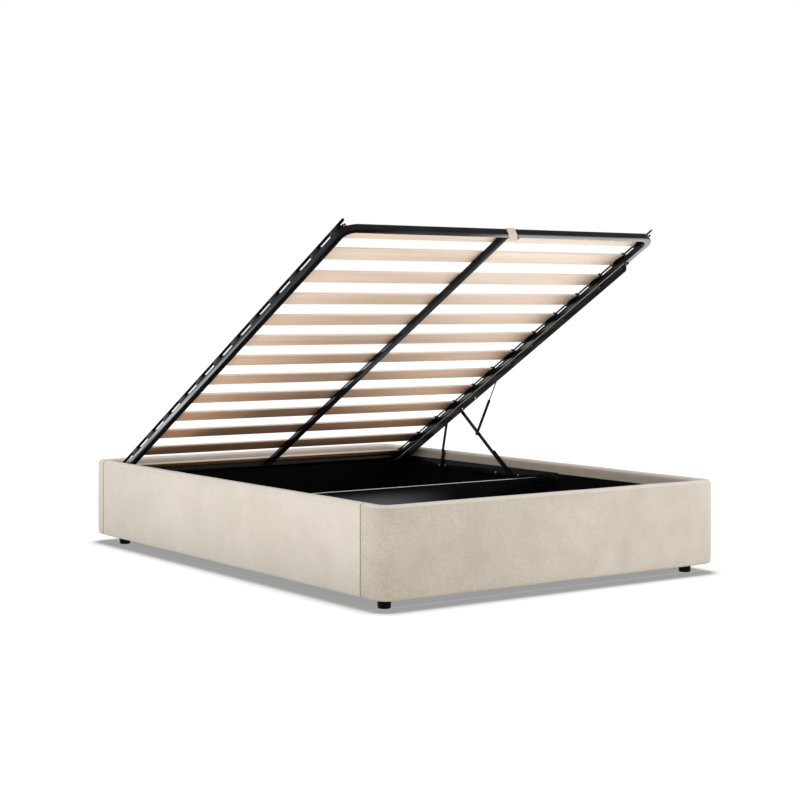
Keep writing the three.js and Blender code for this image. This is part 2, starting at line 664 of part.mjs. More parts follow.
function tubeSection(left, right, bottom, top) {
  const shape = roundedRectangle(left, right, bottom, top, TUBE_ROUNDING);
  const bore = roundedRectangle(
    left + TUBE_WALL, right - TUBE_WALL, bottom + TUBE_WALL, top - TUBE_WALL,
    TUBE_ROUNDING - TUBE_WALL, new THREE.Path(),
  );
  shape.holes.push(bore);
  return shape;
}

function addCrossTubes(parent) {
  const reach = TUBE_INNER_X - SEAT_GAP;
  const headSection = tubeSection(-HEAD_TUBE_INSET - TUBE_WIDTH, -HEAD_TUBE_INSET, 0, TUBE_DEPTH);
  const headTube = extrudedAcross(headSection, -reach, reach, EDGE_STEPS);
  addPiece(parent, 'head_cross_tube', headTube, blackSteel());
  const barSection = tubeSection(
    -CENTRE_BAR_WIDTH / 2, CENTRE_BAR_WIDTH / 2, CENTRE_BAR_LIFT, CENTRE_BAR_LIFT + CENTRE_BAR_DEPTH,
  );
  const barStart = HEAD_TUBE_INSET + TUBE_WIDTH + SEAT_GAP;
  const barEnd = FRAME_LENGTH - TUBE_WIDTH - SEAT_GAP;
  addPiece(parent, 'centre_bar', extrudedAlong(barSection, barStart, barEnd, EDGE_STEPS), blackSteel());
}

// The slats are evenly spaced, except that the first and the last sit nearer to the head
function slatPlaces() {
  return Array.from({ length: SLAT_COUNT }, (_, index) => {
    const shift = index % (SLAT_COUNT - 1) ? 0 : END_SLAT_SHIFT;
    return FIRST_SLAT_U - index * SLAT_PITCH - shift;
  });
}

function addSlats(parent) {
  const half = SLAT_WIDTH / 2;
  const section = roundedRectangle(-half, half, 0, SLAT_THICKNESS, SLAT_ROUNDING);
  slatPlaces().forEach((u, index) => {
    const slat = extrudedAcross(section, -SLAT_HALF_LENGTH, SLAT_HALF_LENGTH, EDGE_STEPS);
    const name = `slat_${String(index + 1).padStart(2, '0')}`;
    addPiece(parent, name, slat, birch()).position.set(0, -u, SLAT_BOTTOM);
  });
}

// Holder of one slat end: a moulded cap with a curved mouth between two lugs
function capSolid(side, u) {
  const outer = FRAME_HALF;
  const half = SLAT_WIDTH / 2 + CAP_SIDE_WALL;
  const edge = outer - CAP_EDGE_REACH;
  const bulge = CAP_REACH - CAP_EDGE_REACH;
  const outline = new THREE.Shape();
  outline.moveTo(side * outer, -u - half);
  outline.lineTo(side * (edge - CAP_LUG), -u - half);
  outline.lineTo(side * edge, -u - half + CAP_LUG_WIDTH);
  outline.quadraticCurveTo(side * (edge - 2 * bulge), -u, side * edge, -u + half - CAP_LUG_WIDTH);
  outline.lineTo(side * (edge - CAP_LUG), -u + half);
  outline.lineTo(side * outer, -u + half);
  outline.closePath();
  const top = SLAT_BOTTOM + SLAT_THICKNESS + SLAT_FIT + CAP_ROOF;
  const cap = solidOf(extrudedUp(outline, CAP_BOTTOM, top));
  const pocketHalf = SLAT_WIDTH / 2 + SLAT_FIT;
  const pocket = block(
    [side * (SLAT_HALF_LENGTH + SLAT_FIT), side * (outer - CAP_REACH - OVERRUN)],
    [-u - pocketHalf, -u + pocketHalf],
    [SLAT_BOTTOM - SLAT_FIT, SLAT_BOTTOM + SLAT_THICKNESS + SLAT_FIT],
  );
  return cap.subtract(solidOf(pocket));
}

function addHolderStrips(parent) {
  const headCapEnd = slatPlaces().at(-1) - SLAT_WIDTH / 2 - CAP_SIDE_WALL;
  const tip = FRAME_LENGTH + STRIP_TIP_OVERHANG;
  const stripTop = STRIP_BOTTOM + STRIP_HEIGHT;
  const tipRadius = INNER_CORNER_RADIUS - STRIP_TIP_EASE;
  const plan = roundedRectangle(-FRAME_HALF, FRAME_HALF, -tip, OVERRUN, tipRadius);
  for (const [name, side] of [['left', -1], ['right', 1]]) {
    const bar = block(
      [side * (FRAME_HALF - STRIP_THICKNESS), side * (FRAME_HALF + OVERRUN)],
      [-headCapEnd, -tip - OVERRUN],
      [STRIP_BOTTOM - OVERRUN, stripTop + OVERRUN],
    );
    const web = common(extrudedUp(plan, STRIP_BOTTOM, stripTop), bar);
    const solid = slatPlaces().reduce((sum, u) => sum.add(capSolid(side, u)), solidOf(web));
    addPiece(parent, `${name}_holder_strip`, geometryOf(solid), blackPlastic());
  }
}

// Ears on the outer faces of the side tubes that turn on the hinge pins
function addHingeEars(parent) {
  const foot = EAR_FOOT_LENGTH / 2;
  const shape = new THREE.Shape();
  shape.moveTo(-HINGE_INSET - foot, EAR_FOOT_MARGIN);
  shape.lineTo(-HINGE_INSET + foot, EAR_FOOT_MARGIN);
  shape.lineTo(-HINGE_INSET + foot, TUBE_DEPTH - EAR_FOOT_MARGIN);
  shape.absarc(-HINGE_INSET, HINGE_RISE, EAR_TOP_RADIUS, 0, Math.PI, false);
  shape.lineTo(-HINGE_INSET - foot, TUBE_DEPTH - EAR_FOOT_MARGIN);
  shape.closePath();
  const pinHole = new THREE.Path();
  pinHole.absarc(-HINGE_INSET, HINGE_RISE, HINGE_PIN_RADIUS + SEAT_GAP, 0, 2 * Math.PI, true);
  shape.holes.push(pinHole);
  const inner = FRAME_HALF + SEAT_GAP;
  for (const [name, side] of [['left', -1], ['right', 1]]) {
    const ear = extrudedAcross(shape, side * inner, side * (inner + EAR_THICKNESS));
    addPiece(parent, `${name}_hinge_ear`, ear, blackSteel());
  }
}

// Angle plate under the right side tube that carries the stays and the gas strut
function addSidePlate(parent) {
  const top = -SEAT_GAP;
  const section = outlineOf([
    [PLATE_X, -PLATE_DEPTH],
    [PLATE_X + PLATE_THICKNESS, -PLATE_DEPTH],
    [PLATE_X + PLATE_THICKNESS, top - PLATE_THICKNESS],
    [PLATE_X + PLATE_LEG_WIDTH, top - PLATE_THICKNESS],
    [PLATE_X + PLATE_LEG_WIDTH, top],
    [PLATE_X, top],
  ]);
  const bar = extrudedAlong(section, PLATE_HEAD_INSET, PLATE_FOOT_U);
  const outline = roundedRectangle(
    -PLATE_FOOT_U, -PLATE_HEAD_INSET, -PLATE_DEPTH, top + OVERRUN, PLATE_END_RADIUS,
  );
  const rounded = common(bar, extrudedAcross(outline, PLATE_X - OVERRUN, PLATE_X + 2 * OVERRUN));
  const placeOn = ({ along, down }) => [
    -PLATE_HEAD_INSET - along * (PLATE_FOOT_U - PLATE_HEAD_INSET),
    -down * PLATE_DEPTH,
  ];
  const holes = PLATE_HOLE_SHARES.map((share) =>
    disc(...placeOn(share), PLATE_HOLE_RADIUS, PLATE_X - OVERRUN, PLATE_X + OVERRUN));
  const parts = [without(rounded, holes)];
  for (const share of PLATE_BOLT_SHARES) {
    const ends = [PLATE_X - PLATE_BOLT_HEIGHT, PLATE_X + SEAT_GAP];
    parts.push(disc(...placeOn(share), PLATE_BOLT_RADIUS, ...ends));
  }
  const face = PLATE_X + PLATE_THICKNESS;
  for (const pivot of [FRONT_FRAME_PIVOT, REAR_FRAME_PIVOT]) {
    parts.push(...stud(-pivot.u, pivot.n, face, UPPER_ARM_X, STUD_RADIUS));
  }
  const eyeX = STRUT_X - STRUT_EYE_THICKNESS / 2;
  const pin = STRUT_FRAME_PIVOT;
  parts.push(...stud(-pin.u, pin.n, face, eyeX, STRUT_PIN_RADIUS, STRUT_EYE_THICKNESS));
  addPiece(parent, 'side_plate', joined(parts), blackSteel());
}

// Webbing loop round the foot tube with a short tail that hangs straight down
function addPullStrap(parent) {
  const clear = SEAT_GAP + STRAP_THICKNESS;
  const rear = -FRAME_LENGTH + TUBE_WIDTH + clear;
  const front = -FRAME_LENGTH - clear;
  const ring = roundedRectangle(front, rear, -clear, TUBE_DEPTH + clear, TUBE_ROUNDING + clear);
  const inside = roundedRectangle(
    -FRAME_LENGTH - SEAT_GAP, -FRAME_LENGTH + TUBE_WIDTH + SEAT_GAP,
    -SEAT_GAP, TUBE_DEPTH + SEAT_GAP, TUBE_ROUNDING + SEAT_GAP, new THREE.Path(),
  );
  ring.holes.push(inside);
  const left = CENTRE_BAR_WIDTH / 2 + STRAP_THICKNESS + SEAT_GAP;
  const loop = extrudedAcross(ring, left, left + STRAP_WIDTH);
  const tail = block([left, left + STRAP_WIDTH], [0, 2 * STRAP_THICKNESS], [-STRAP_TAIL, 0]);
  tail.rotateX(LIFT_ANGLE);
  tail.translate(0, front + STRAP_THICKNESS, -clear);
  const skew = new THREE.Matrix4().makeShear(0, 0, STRAP_SKEW / (rear - front), 0, 0, 0);
  const strap = joined([loop, tail]);
  strap.translate(0, -rear, 0);
  strap.applyMatrix4(skew);
  strap.translate(0, rear, 0);
  addPiece(parent, 'pull_strap', strap, webbing());
}

// Where a point of the lifted frame lies in the bed's own frame
function lifted({ u, n }) {
  const along = HINGE_INSET - u;
  const up = n - HINGE_RISE;
  const cosine = Math.cos(LIFT_ANGLE);
  const sine = Math.sin(LIFT_ANGLE);
  return { y: HINGE_Y + along * cosine + up * sine, z: HINGE_Z - along * sine + up * cosine };
}

function between(from, to) {
  const alongY = to.y - from.y;
  const alongZ = to.z - from.z;
  return { length: Math.hypot(alongY, alongZ), angle: Math.atan2(alongZ, alongY) };
}

function linkOutline(length, width, holeAtStart, holeAtEnd) {
  const radius = width / 2;
  const quarter = Math.PI / 2;
  const shape = new THREE.Shape();
  shape.absarc(length, 0, radius, -quarter, quarter, false);
  shape.absarc(0, 0, radius, quarter, 3 * quarter, false);
  shape.closePath();
  for (const [place, hole] of [[0, holeAtStart], [length, holeAtEnd]]) {
    if (hole > 0) {
      const path = new THREE.Path();
      path.absarc(place, 0, hole, 0, 2 * Math.PI, true);
      shape.holes.push(path);
    }
  }
  return shape;
}

// An arm is drawn along +y from its first pivot, then set at that pivot and turned
function placeArm(piece, pivot, angle) {
  piece.position.set(0, pivot.y, pivot.z);
  piece.rotation.x = angle;
}

function addStay(parent, name, basePivot, framePivot, lowerLength, width, strutAt) {
  const open = between(basePivot, framePivot);
  const hole = STUD_RADIUS + STUD_CLEARANCE;
  const lower = extrudedAcross(
    linkOutline(lowerLength, width, hole, 0), LOWER_ARM_X, LOWER_ARM_X + ARM_THICKNESS,
  );
  const kneeBoss = disc(
    lowerLength, 0, KNEE_RIVET_RADIUS, LOWER_ARM_X - ARM_SPACING + SEAT_GAP, LOWER_ARM_X + SEAT_GAP,
  );
  const lowerArm = addPiece(parent, `${name}_lower_arm`, joined([lower, kneeBoss]), blackSteel());
  placeArm(lowerArm, basePivot, open.angle);
  const upperLength = open.length - lowerLength;
  const upper = extrudedAcross(
    linkOutline(upperLength, width, hole, 0), UPPER_ARM_X, UPPER_ARM_X + ARM_THICKNESS,
  );
  const rivetEnd = UPPER_ARM_X - ARM_SPACING + SEAT_GAP / 2;
  const rivets = [disc(upperLength, 0, KNEE_RIVET_RADIUS, rivetEnd, UPPER_ARM_X + SEAT_GAP)];
  if (strutAt > 0) {
    rivets.push(disc(strutAt, 0, KNEE_RIVET_RADIUS, rivetEnd, UPPER_ARM_X + SEAT_GAP));
  }
  const upperArm = addPiece(parent, `${name}_upper_arm`, joined([upper, ...rivets]), blackSteel());
  placeArm(upperArm, framePivot, open.angle + Math.PI);
}

// Shape turned about the y axis: radii against distance along the strut
function turned(profile, steps = SMALL_ROUND_STEPS) {
  const points = profile.map(([radius, along]) => new THREE.Vector2(radius, along));
  return new THREE.LatheGeometry(points, steps);
}

function addGasStrut(parent, armPivot, framePivot) {
  const open = between(armPivot, framePivot);
  const half = STRUT_EYE_THICKNESS / 2;
  const barrel = turned([
    [0, STRUT_EYE_RADIUS / 2],
    [STRUT_BORE_RADIUS, STRUT_EYE_RADIUS / 2],
    [STRUT_BORE_RADIUS, STRUT_BARREL_START],
    [STRUT_BARREL_RADIUS, STRUT_BARREL_START],
    [STRUT_BARREL_RADIUS, STRUT_BARREL_END],
    [STRUT_BORE_RADIUS, STRUT_BARREL_END],
    [STRUT_BORE_RADIUS, STRUT_BORE_START],
    [0, STRUT_BORE_START],
  ]);
  const lowerEye = disc(0, 0, STRUT_EYE_RADIUS, -half, STRUT_BARREL_RADIUS);
  const cylinder = addPiece(parent, 'strut_cylinder', joined([barrel, lowerEye]), blackSteel());
  cylinder.position.set(STRUT_X, armPivot.y, armPivot.z);
  cylinder.rotation.x = open.angle;
  const rod = turned([
    [0, STRUT_ROD_END],
    [STRUT_ROD_RADIUS, STRUT_ROD_END],
    [STRUT_ROD_RADIUS, open.length - STRUT_EYE_RADIUS / 2],
    [0, open.length - STRUT_EYE_RADIUS / 2],
  ]);
  const eye = disc(open.length, 0, STRUT_EYE_RADIUS, -half, half, ROUND_STEPS);
  const pinHole = disc(
    open.length, 0, STRUT_PIN_RADIUS + STUD_CLEARANCE, -STRUT_EYE_THICKNESS, STRUT_EYE_THICKNESS,
  );
  const rodPiece = addPiece(parent, 'strut_rod', without(joined([rod, eye]), [pinHole]), zincSteel());
  rodPiece.position.copy(cylinder.position);
  rodPiece.rotation.x = open.angle;
}

function addMechanism(parent) {
  const front = lifted(FRONT_FRAME_PIVOT);
  const rear = lifted(REAR_FRAME_PIVOT);
  addStay(
    parent, 'front', FRONT_BASE_PIVOT, front,
    FRONT_LOWER_ARM_LENGTH, FRONT_ARM_WIDTH, STRUT_PIVOT_ON_ARM,
  );
  addStay(parent, 'rear', REAR_BASE_PIVOT, rear, REAR_LOWER_ARM_LENGTH, REAR_ARM_WIDTH, 0);
  const stay = between(front, FRONT_BASE_PIVOT);
  const strutBase = {
    y: front.y + STRUT_PIVOT_ON_ARM * Math.cos(stay.angle),
    z: front.z + STRUT_PIVOT_ON_ARM * Math.sin(stay.angle),
  };
  addGasStrut(parent, strutBase, lifted(STRUT_FRAME_PIVOT));
}

// Whole bed: the base stands still, the slat frame hangs on the hinge at the head
function buildBed() {
  const bed = new THREE.Group();
  addRails(bed);
  addLiners(bed);
  addFloor(bed);
  addFloorBearers(bed);
  addDivider(bed);
  addFeet(bed);
  addRestBlocks(bed);
  addHingeBrackets(bed);
  addMechanismRail(bed);

  const hinge = new THREE.Group();
  hinge.position.set(0, HINGE_Y, HINGE_Z);
  hinge.rotation.x = -LIFT_ANGLE;
  bed.add(hinge);
  const frame = new THREE.Group();
  frame.position.set(0, HINGE_INSET, -HINGE_RISE);
  hinge.add(frame);
  addPerimeterTube(frame);
  addCrossTubes(frame);
  addSlats(frame);
  addHolderStrips(frame);
  addHingeEars(frame);
  addSidePlate(frame);
  addPullStrap(frame);

  addMechanism(bed);
  return bed;
}

export default buildBed();
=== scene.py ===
import json
import math
import bmesh
import bpy
from mathutils import Matrix, Vector, noise


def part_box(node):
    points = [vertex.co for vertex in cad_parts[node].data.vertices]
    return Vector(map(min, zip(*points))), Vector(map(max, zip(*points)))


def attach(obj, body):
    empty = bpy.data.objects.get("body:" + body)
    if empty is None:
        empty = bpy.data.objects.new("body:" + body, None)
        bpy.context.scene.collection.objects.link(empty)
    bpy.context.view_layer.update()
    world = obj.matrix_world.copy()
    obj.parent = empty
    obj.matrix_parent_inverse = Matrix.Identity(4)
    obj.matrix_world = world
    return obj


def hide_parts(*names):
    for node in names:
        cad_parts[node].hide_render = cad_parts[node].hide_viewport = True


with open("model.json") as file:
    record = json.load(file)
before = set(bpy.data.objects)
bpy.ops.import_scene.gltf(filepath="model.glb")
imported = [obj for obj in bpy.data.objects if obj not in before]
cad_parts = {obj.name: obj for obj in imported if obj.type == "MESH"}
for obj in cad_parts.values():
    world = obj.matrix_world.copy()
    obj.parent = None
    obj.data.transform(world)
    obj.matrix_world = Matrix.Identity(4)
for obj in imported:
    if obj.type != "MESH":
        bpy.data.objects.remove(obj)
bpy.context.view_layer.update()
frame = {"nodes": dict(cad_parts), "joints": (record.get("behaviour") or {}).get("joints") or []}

# Upholstered rails
# Four boards on edge, wrapped in thin wadding and a pale woven velvet that stands a little above
# them at the rim. The foot and head rails are bent round the corners and meet the side rails at
# upright seams.
foot_low, foot_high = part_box("foot_rail")
head_low, head_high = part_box("head_rail")
side_low, side_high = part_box("right_side_rail")
rail_thickness = side_high.x - side_low.x
rail_height = foot_high.z - foot_low.z
rail_middle = (foot_high.z + foot_low.z) / 2
corner_radius = 0.055
corner_x = foot_high.x - corner_radius
corner_y = head_high.y - corner_radius
edge_softness = 0.0135
seam_softness = 0.0032
seam_shade_reach = 0.0036
band_low = 0.2915
lining_reach = 0.0045
rim_swell = 0.006
rim_reach = 0.03
wadding_swell = 0.0009
wave_length = 0.19
pucker_pitch = 0.031
pucker_depth = 0.0005
pucker_reach = 0.03
section_cuts = 34
corner_steps = 14
run_step = 0.022
quarter_turn = 90


class Signal:
    """One output of a finish's nodes: maths on it adds the nodes that work it out."""

    def __init__(self, finish, socket):
        self.finish = finish
        self.socket = socket

    def __add__(self, other):
        return self.finish.maths("ADD", self, other)

    def __sub__(self, other):
        return self.finish.maths("SUBTRACT", self, other)

    def __rsub__(self, other):
        return self.finish.maths("SUBTRACT", other, self)

    def __mul__(self, other):
        return self.finish.maths("MULTIPLY", self, other)

    __radd__ = __add__
    __rmul__ = __mul__


class Finish:
    """A material in the making. Constants go straight onto the shader's own sockets."""

    def __init__(self, name, **constants):
        self.material = bpy.data.materials.new(name)
        self.material.use_nodes = True
        self.nodes = self.material.node_tree.nodes
        self.links = self.material.node_tree.links
        self.shader = self.nodes["Principled BSDF"]
        self.set(**constants)

    def set(self, **values):
        for name, value in values.items():
            self.feed(self.shader.inputs[name.replace("_", " ").title().replace("Ior", "IOR")], value)

    def feed(self, socket, value):
        if isinstance(value, Signal):
            self.links.new(value.socket, socket)
        else:
            socket.default_value = value

    def node(self, kind, settings=None, inputs=None, output=0):
        made = self.nodes.new("ShaderNode" + kind)
        for name, value in (settings or {}).items():
            setattr(made, name, value)
        for name, value in (inputs or {}).items():
            self.feed(made.inputs[name], value)
        return Signal(self, made.outputs[output])

    def maths(self, operation, a, b=0.0):
        return self.node("Math", {"operation": operation}, {0: a, 1: b})

    def place(self, stretch=(1, 1, 1)):
        """Object coordinates, scaled along each axis."""
        here = self.node("TexCoord", output=3)
        return self.node("Mapping", inputs={"Vector": here, "Scale": stretch})

    def grain(self, scale, detail=2.0, stretch=(1, 1, 1)):
        """Noise from 0 to 1, with that many waves to the metre."""
        inputs = {"Vector": self.place(stretch), "Scale": scale, "Detail": detail}
        return self.node("TexNoise", inputs=inputs)

    def step(self, value, low, high):
        """0 below low, 1 above high, and smooth between."""
        inputs = {"Value": value, "From Min": low, "From Max": high}
        return self.node("MapRange", {"interpolation_type": "SMOOTHSTEP"}, inputs)

    def blend(self, share, a, b):
        return self.node("Mix", {"data_type": "RGBA"}, {0: share, 6: a, 7: b}, 2)

    def bump(self, height, strength, distance):
        inputs = {"Height": height, "Strength": strength, "Distance": distance}
        self.set(normal=self.node("Bump", inputs=inputs))


def tint(code):
    """The linear colour of a hex code, as it is seen on a screen."""
    channels = [int(code[i:i + 2], 16) / 255 for i in (0, 2, 4)]
    return [c / 12.92 if c <= 0.04045 else ((c + 0.055) / 1.055) ** 2.4 for c in channels] + [1.0]


def velvet_finish():
    velvet = Finish("greige_velvet", roughness=0.92, sheen_weight=0.12, sheen_roughness=0.5)
    lay = velvet.node("UVMap", {"uv_map": "cloth"})
    along = velvet.node("SeparateXYZ", inputs={0: lay}, output=0)
    round_section = velvet.node("SeparateXYZ", inputs={0: lay}, output=1)
    here = velvet.place()
    x = velvet.node("SeparateXYZ", inputs={0: here}, output=0)
    y = velvet.node("SeparateXYZ", inputs={0: here}, output=1)
    clouds = velvet.step(velvet.grain(4.5, 3.0), 0.34, 0.66)
    strokes = velvet.step(velvet.grain(15.0, 3.0, (1, 1, 0.8)), 0.32, 0.7)
    dashes = velvet.step(velvet.grain(75.0, 4.0, (0.8, 0.8, 1.3)), 0.3, 0.75)
    flecks = velvet.step(velvet.grain(200.0, 3.0), 0.4, 0.66)
    nap = velvet.blend(clouds * 0.7 + strokes * 0.3, tint("cdc5b7"), tint("d7cfc3"))
    on_foot = velvet.maths("LESS_THAN", y, foot_high.y)
    # Painted shade: the foot rail is painted darker towards its left end, where it also gets more
    # grain.
    left_foot_painted_shade_and_grain = on_foot * (1 - velvet.step(x, -corner_x, corner_x * 0.4))
    blotches = velvet.step(velvet.grain(11.0, 5.0), 0.4, 0.68)
    nap = velvet.blend(left_foot_painted_shade_and_grain * 0.28 + blotches * on_foot * 0.2, nap, tint("b3a48e"))
    nap = velvet.blend(dashes * (0.08 + 0.16 * left_foot_painted_shade_and_grain), nap, tint("a99a84"))
    nap = velvet.blend(flecks * (0.12 + 0.1 * on_foot + 0.14 * left_foot_painted_shade_and_grain), nap, tint("ab9c86"))
    height = velvet.node("SeparateXYZ", inputs={0: here}, output=2)
    # Painted highlight: the velvet is painted paler along the top of the rim.
    painted_top_highlight = velvet.step(height, foot_high.z - edge_softness * 0.6, foot_high.z + rim_swell * 0.6)
    nap = velvet.blend(painted_top_highlight * 0.8, nap, tint("ebe4d9"))
    front_seam = velvet.maths("ABSOLUTE", y - foot_high.y)
    rear_seam = velvet.maths("ABSOLUTE", y - head_low.y)
    outside = velvet.maths("GREATER_THAN", velvet.maths("ABSOLUTE", x), side_high.x - edge_softness)
    near = velvet.maths("MINIMUM", front_seam, rear_seam)
    # Painted shade: the velvet is painted darker in the upright seams.
    painted_seam_shade = outside * (1 - velvet.step(near, seam_shade_reach * 0.4, seam_shade_reach))
    nap = velvet.blend(painted_seam_shade * 0.85, nap, tint("85745e"))
    velvet.set(base_color=nap, roughness=0.86 + 0.1 * flecks)
    weft = velvet.maths("SINE", along * 2900.0)
    warp = velvet.maths("SINE", round_section * 2900.0)
    velvet.bump(weft * warp * 0.3 + flecks * 0.7 + dashes * (0.2 + 0.3 * left_foot_painted_shade_and_grain), 0.3, 0.0009)
    return velvet.material


def leave_selected(piece):
    """Makes a piece the only selected object, and the active one."""
    bpy.ops.object.select_all(action="DESELECT")
    piece.select_set(True)
    bpy.context.view_layer.objects.active = piece


def begin_section(name, x, y, z, width, height, rounding, steps):
    """Starts a piece as a rounded outline that faces along y, in edit mode."""
    bpy.ops.object.select_all(action="DESELECT")
    bpy.ops.mesh.primitive_plane_add(size=1, location=(x, y, z), rotation=(math.pi / 2, 0, 0))
    piece = bpy.context.object
    piece.name = piece.data.name = name
    piece.scale = (width, height, 1)
    bpy.ops.object.transform_apply()
    bpy.ops.object.mode_set(mode="EDIT")
    bpy.ops.mesh.select_all(action="SELECT")
    bpy.ops.mesh.bevel(affect="VERTICES", offset=rounding, segments=steps)
    return piece


def cut_long_edges(piece, least, cuts):
    """Subdivides the outline's edges that are longer than least, and selects the whole outline."""
    mesh = bmesh.from_edit_mesh(piece.data)
    for edge in mesh.edges:
        edge.select_set(edge.calc_length() > least)
    bmesh.update_edit_mesh(piece.data)
    bpy.ops.mesh.subdivide(number_cuts=cuts)
    bpy.ops.mesh.select_all(action="SELECT")


def draw_out(vector, count=1):
    """Extrudes what is selected along a vector, in equal steps."""
    for _ in range(count):
        bpy.ops.mesh.extrude_region_move(TRANSFORM_OT_translate={"value": Vector(vector) / count})


def turn_out(centre, degrees, count):
    """Extrudes what is selected round an upright axis; the spin's own angle runs clockwise."""
    bpy.ops.mesh.spin(steps=count, angle=-math.radians(degrees), center=centre, axis=(0, 0, 1))


def close_edit():
    """Turns all faces outwards and leaves edit mode."""
    bpy.ops.mesh.select_all(action="SELECT")
    bpy.ops.mesh.normals_make_consistent(inside=False)
    bpy.ops.object.mode_set(mode="OBJECT")


def apply_modifier(piece, kind, **settings):
    leave_selected(piece)
    modifier = piece.modifiers.new(kind.lower(), kind)
    for name, value in settings.items():
        setattr(modifier, name, value)
    bpy.ops.object.modifier_apply(modifier=modifier.name)


def soften_edges(piece, width, steps=2, angle=35, smooth=42):
    """Bevels the edges that are sharper than an angle, and shades the rest smooth."""
    apply_modifier(
        piece, "BEVEL", width=width, segments=steps, limit_method="ANGLE",
        angle_limit=math.radians(angle), harden_normals=False,
    )
    leave_selected(piece)
    bpy.ops.object.shade_smooth_by_angle(angle=math.radians(smooth))


def cloth_place(point):
    """Where a point lies on the cloth: along the rail, and round its section from the outer foot."""
    over_x = abs(point.x) - corner_x
    over_y = abs(point.y) - corner_y
    if over_x > 0 and over_y > 0:
        angle = math.atan2(over_y, over_x)
        depth = corner_radius - math.hypot(over_x, over_y)
        along = angle * corner_radius
    elif over_x > over_y:
        depth = corner_radius - over_x
        along = over_y
    else:
        depth = corner_radius - over_y
        along = math.pi / 2 * corner_radius - over_x
    if depth < rail_thickness / 2:
        return along, point.z + depth
    return along, 2 * foot_high.z - point.z + depth


def lay_cloth(piece):
    layer = piece.data.uv_layers.new(name="cloth")
    for loop in piece.data.loops:
        layer.data[loop.index].uv = cloth_place(piece.data.vertices[loop.vertex_index].co)


def relax_cloth(piece, seams):
    """Lets the wadding swell and wave a little, most along the top, with puckers by the seams."""
    mesh = piece.data
    normals = [vertex.normal.copy() for vertex in mesh.vertices]
    for vertex, normal in zip(mesh.vertices, normals):
        point = vertex.co
        from_seam = min(1, min(abs(point.y - seam) for seam in seams) / pucker_reach)
        height = (point.z - foot_low.z) / rail_height
        swell = wadding_swell * min(1, 4 * height * (1 - height)) * from_seam
        wave = wadding_swell * noise.noise(point / wave_length)
        pucker = pucker_depth * (1 - from_seam) * math.sin(2 * math.pi * point.z / pucker_pitch)
        outward = abs(normal.x) > 0.5 or abs(normal.y) > 0.5
        vertex.co += normal * ((swell + wave + pucker) if outward else wave)
        rise = (vertex.co.z - foot_high.z + rim_reach) / rim_reach
        vertex.co.z += rim_swell * max(0, min(1, rise))


def finish_rail(piece, node, seams):
    close_edit()
    relax_cloth(piece, seams)
    soften_edges(piece, seam_softness, 3, angle=50, smooth=60)
    lay_cloth(piece)
    piece.data.materials.append(velvet)
    piece.data.materials.append(lining)
    for face in piece.data.polygons:
        from_inside = max(abs(face.center.x) - foot_high.x, abs(face.center.y) - head_high.y)
        if face.center.z < band_low and from_inside < lining_reach - rail_thickness:
            face.material_index = 1
    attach(piece, "base")
    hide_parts(node)


def bent_rail(name, node, end, seam):
    """One end rail: from the seam on the left, round both corners, to the seam on the right."""
    x = -corner_x - corner_radius + rail_thickness / 2
    piece = begin_section(name, x, seam, rail_middle, rail_thickness, rail_height, edge_softness, 6)
    cut_long_edges(piece, rail_thickness, section_cuts)
    bend = end * corner_y
    draw_out((0, bend - seam, 0), max(2, round(abs(bend - seam) / run_step * 2)))
    turn_out((-corner_x, bend, 0), -end * quarter_turn, corner_steps)
    draw_out((2 * corner_x, 0, 0), round(2 * corner_x / run_step))
    turn_out((corner_x, bend, 0), -end * quarter_turn, corner_steps)
    draw_out((0, seam - bend, 0), max(2, round(abs(bend - seam) / run_step * 2)))
    finish_rail(piece, node, [seam])


def side_rail(side, node):
    low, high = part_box(node)
    x = (low.x + high.x) / 2
    name = f"{side}_side_cover"
    piece = begin_section(name, x, low.y, rail_middle, rail_thickness, rail_height, edge_softness, 6)
    cut_long_edges(piece, rail_thickness, section_cuts)
    draw_out((0, high.y - low.y, 0), round((high.y - low.y) / run_step))
    finish_rail(piece, node, [low.y, high.y])


velvet = velvet_finish()
black_cloth = Finish("black_lining_cloth", roughness=0.9, specular_ior_level=0.05)
black_cloth.set(base_color=black_cloth.blend(black_cloth.grain(300.0), tint("050505"), tint("0c0c0c")))
lining = black_cloth.material
bent_rail("foot_cover", "foot_rail", -1, foot_high.y)
bent_rail("head_cover", "head_rail", 1, head_low.y)
side_rail("left", "left_side_rail")
side_rail("right", "right_side_rail")

# Liners, floor and divider
# Thin hardboard faced in black, cut square. The liners are pinned inside the rails, the floor lies
# on its bearers, and the divider stands on the floor with a pale raw top edge. The floor board is
# painted grey as painted light; the divider's face has a painted sheen, and its top edge is painted
# paler as painted light and darker towards its right end as painted shade.


def board_finish(name, dark, light, painted_sheen=0.0):
    """Black board. A painted sheen, light painted into its colour, lightens what is low and on the left
    of an upright board.
    """
    board = Finish(name, specular_ior_level=0.07)
    wear = board.step(board.grain(3.0, 4.0), 0.35, 0.7)
    fibre = board.grain(260.0, 3.0)
    speck = board.step(fibre, 0.62, 0.78)
    face = board.blend(wear, tint(dark), tint(light))
    if painted_sheen:
        here = board.place()
        x = board.node("SeparateXYZ", inputs={0: here}, output=0)
        z = board.node("SeparateXYZ", inputs={0: here}, output=2)
        # Painted sheen: a pool of light painted low and on the left of the board.
        low_left = (1 - board.step(z, 0.21, 0.27)) * (1 - board.step(x, -0.15, 0.27))
        face = board.blend(low_left * painted_sheen, face, tint("8c8c8e"))
    board.set(base_color=board.blend(speck * 0.15, face, tint("2a2a2b")))
    board.set(roughness=0.62 + 0.2 * fibre)
    board.bump(fibre, 0.25, 0.0006)
    return board.material


def dress_node(node, material):
    """Gives a CAD node a material and leaves its shape as it is."""
    piece = frame["nodes"][node]
    piece.data.materials.clear()
    piece.data.materials.append(material)


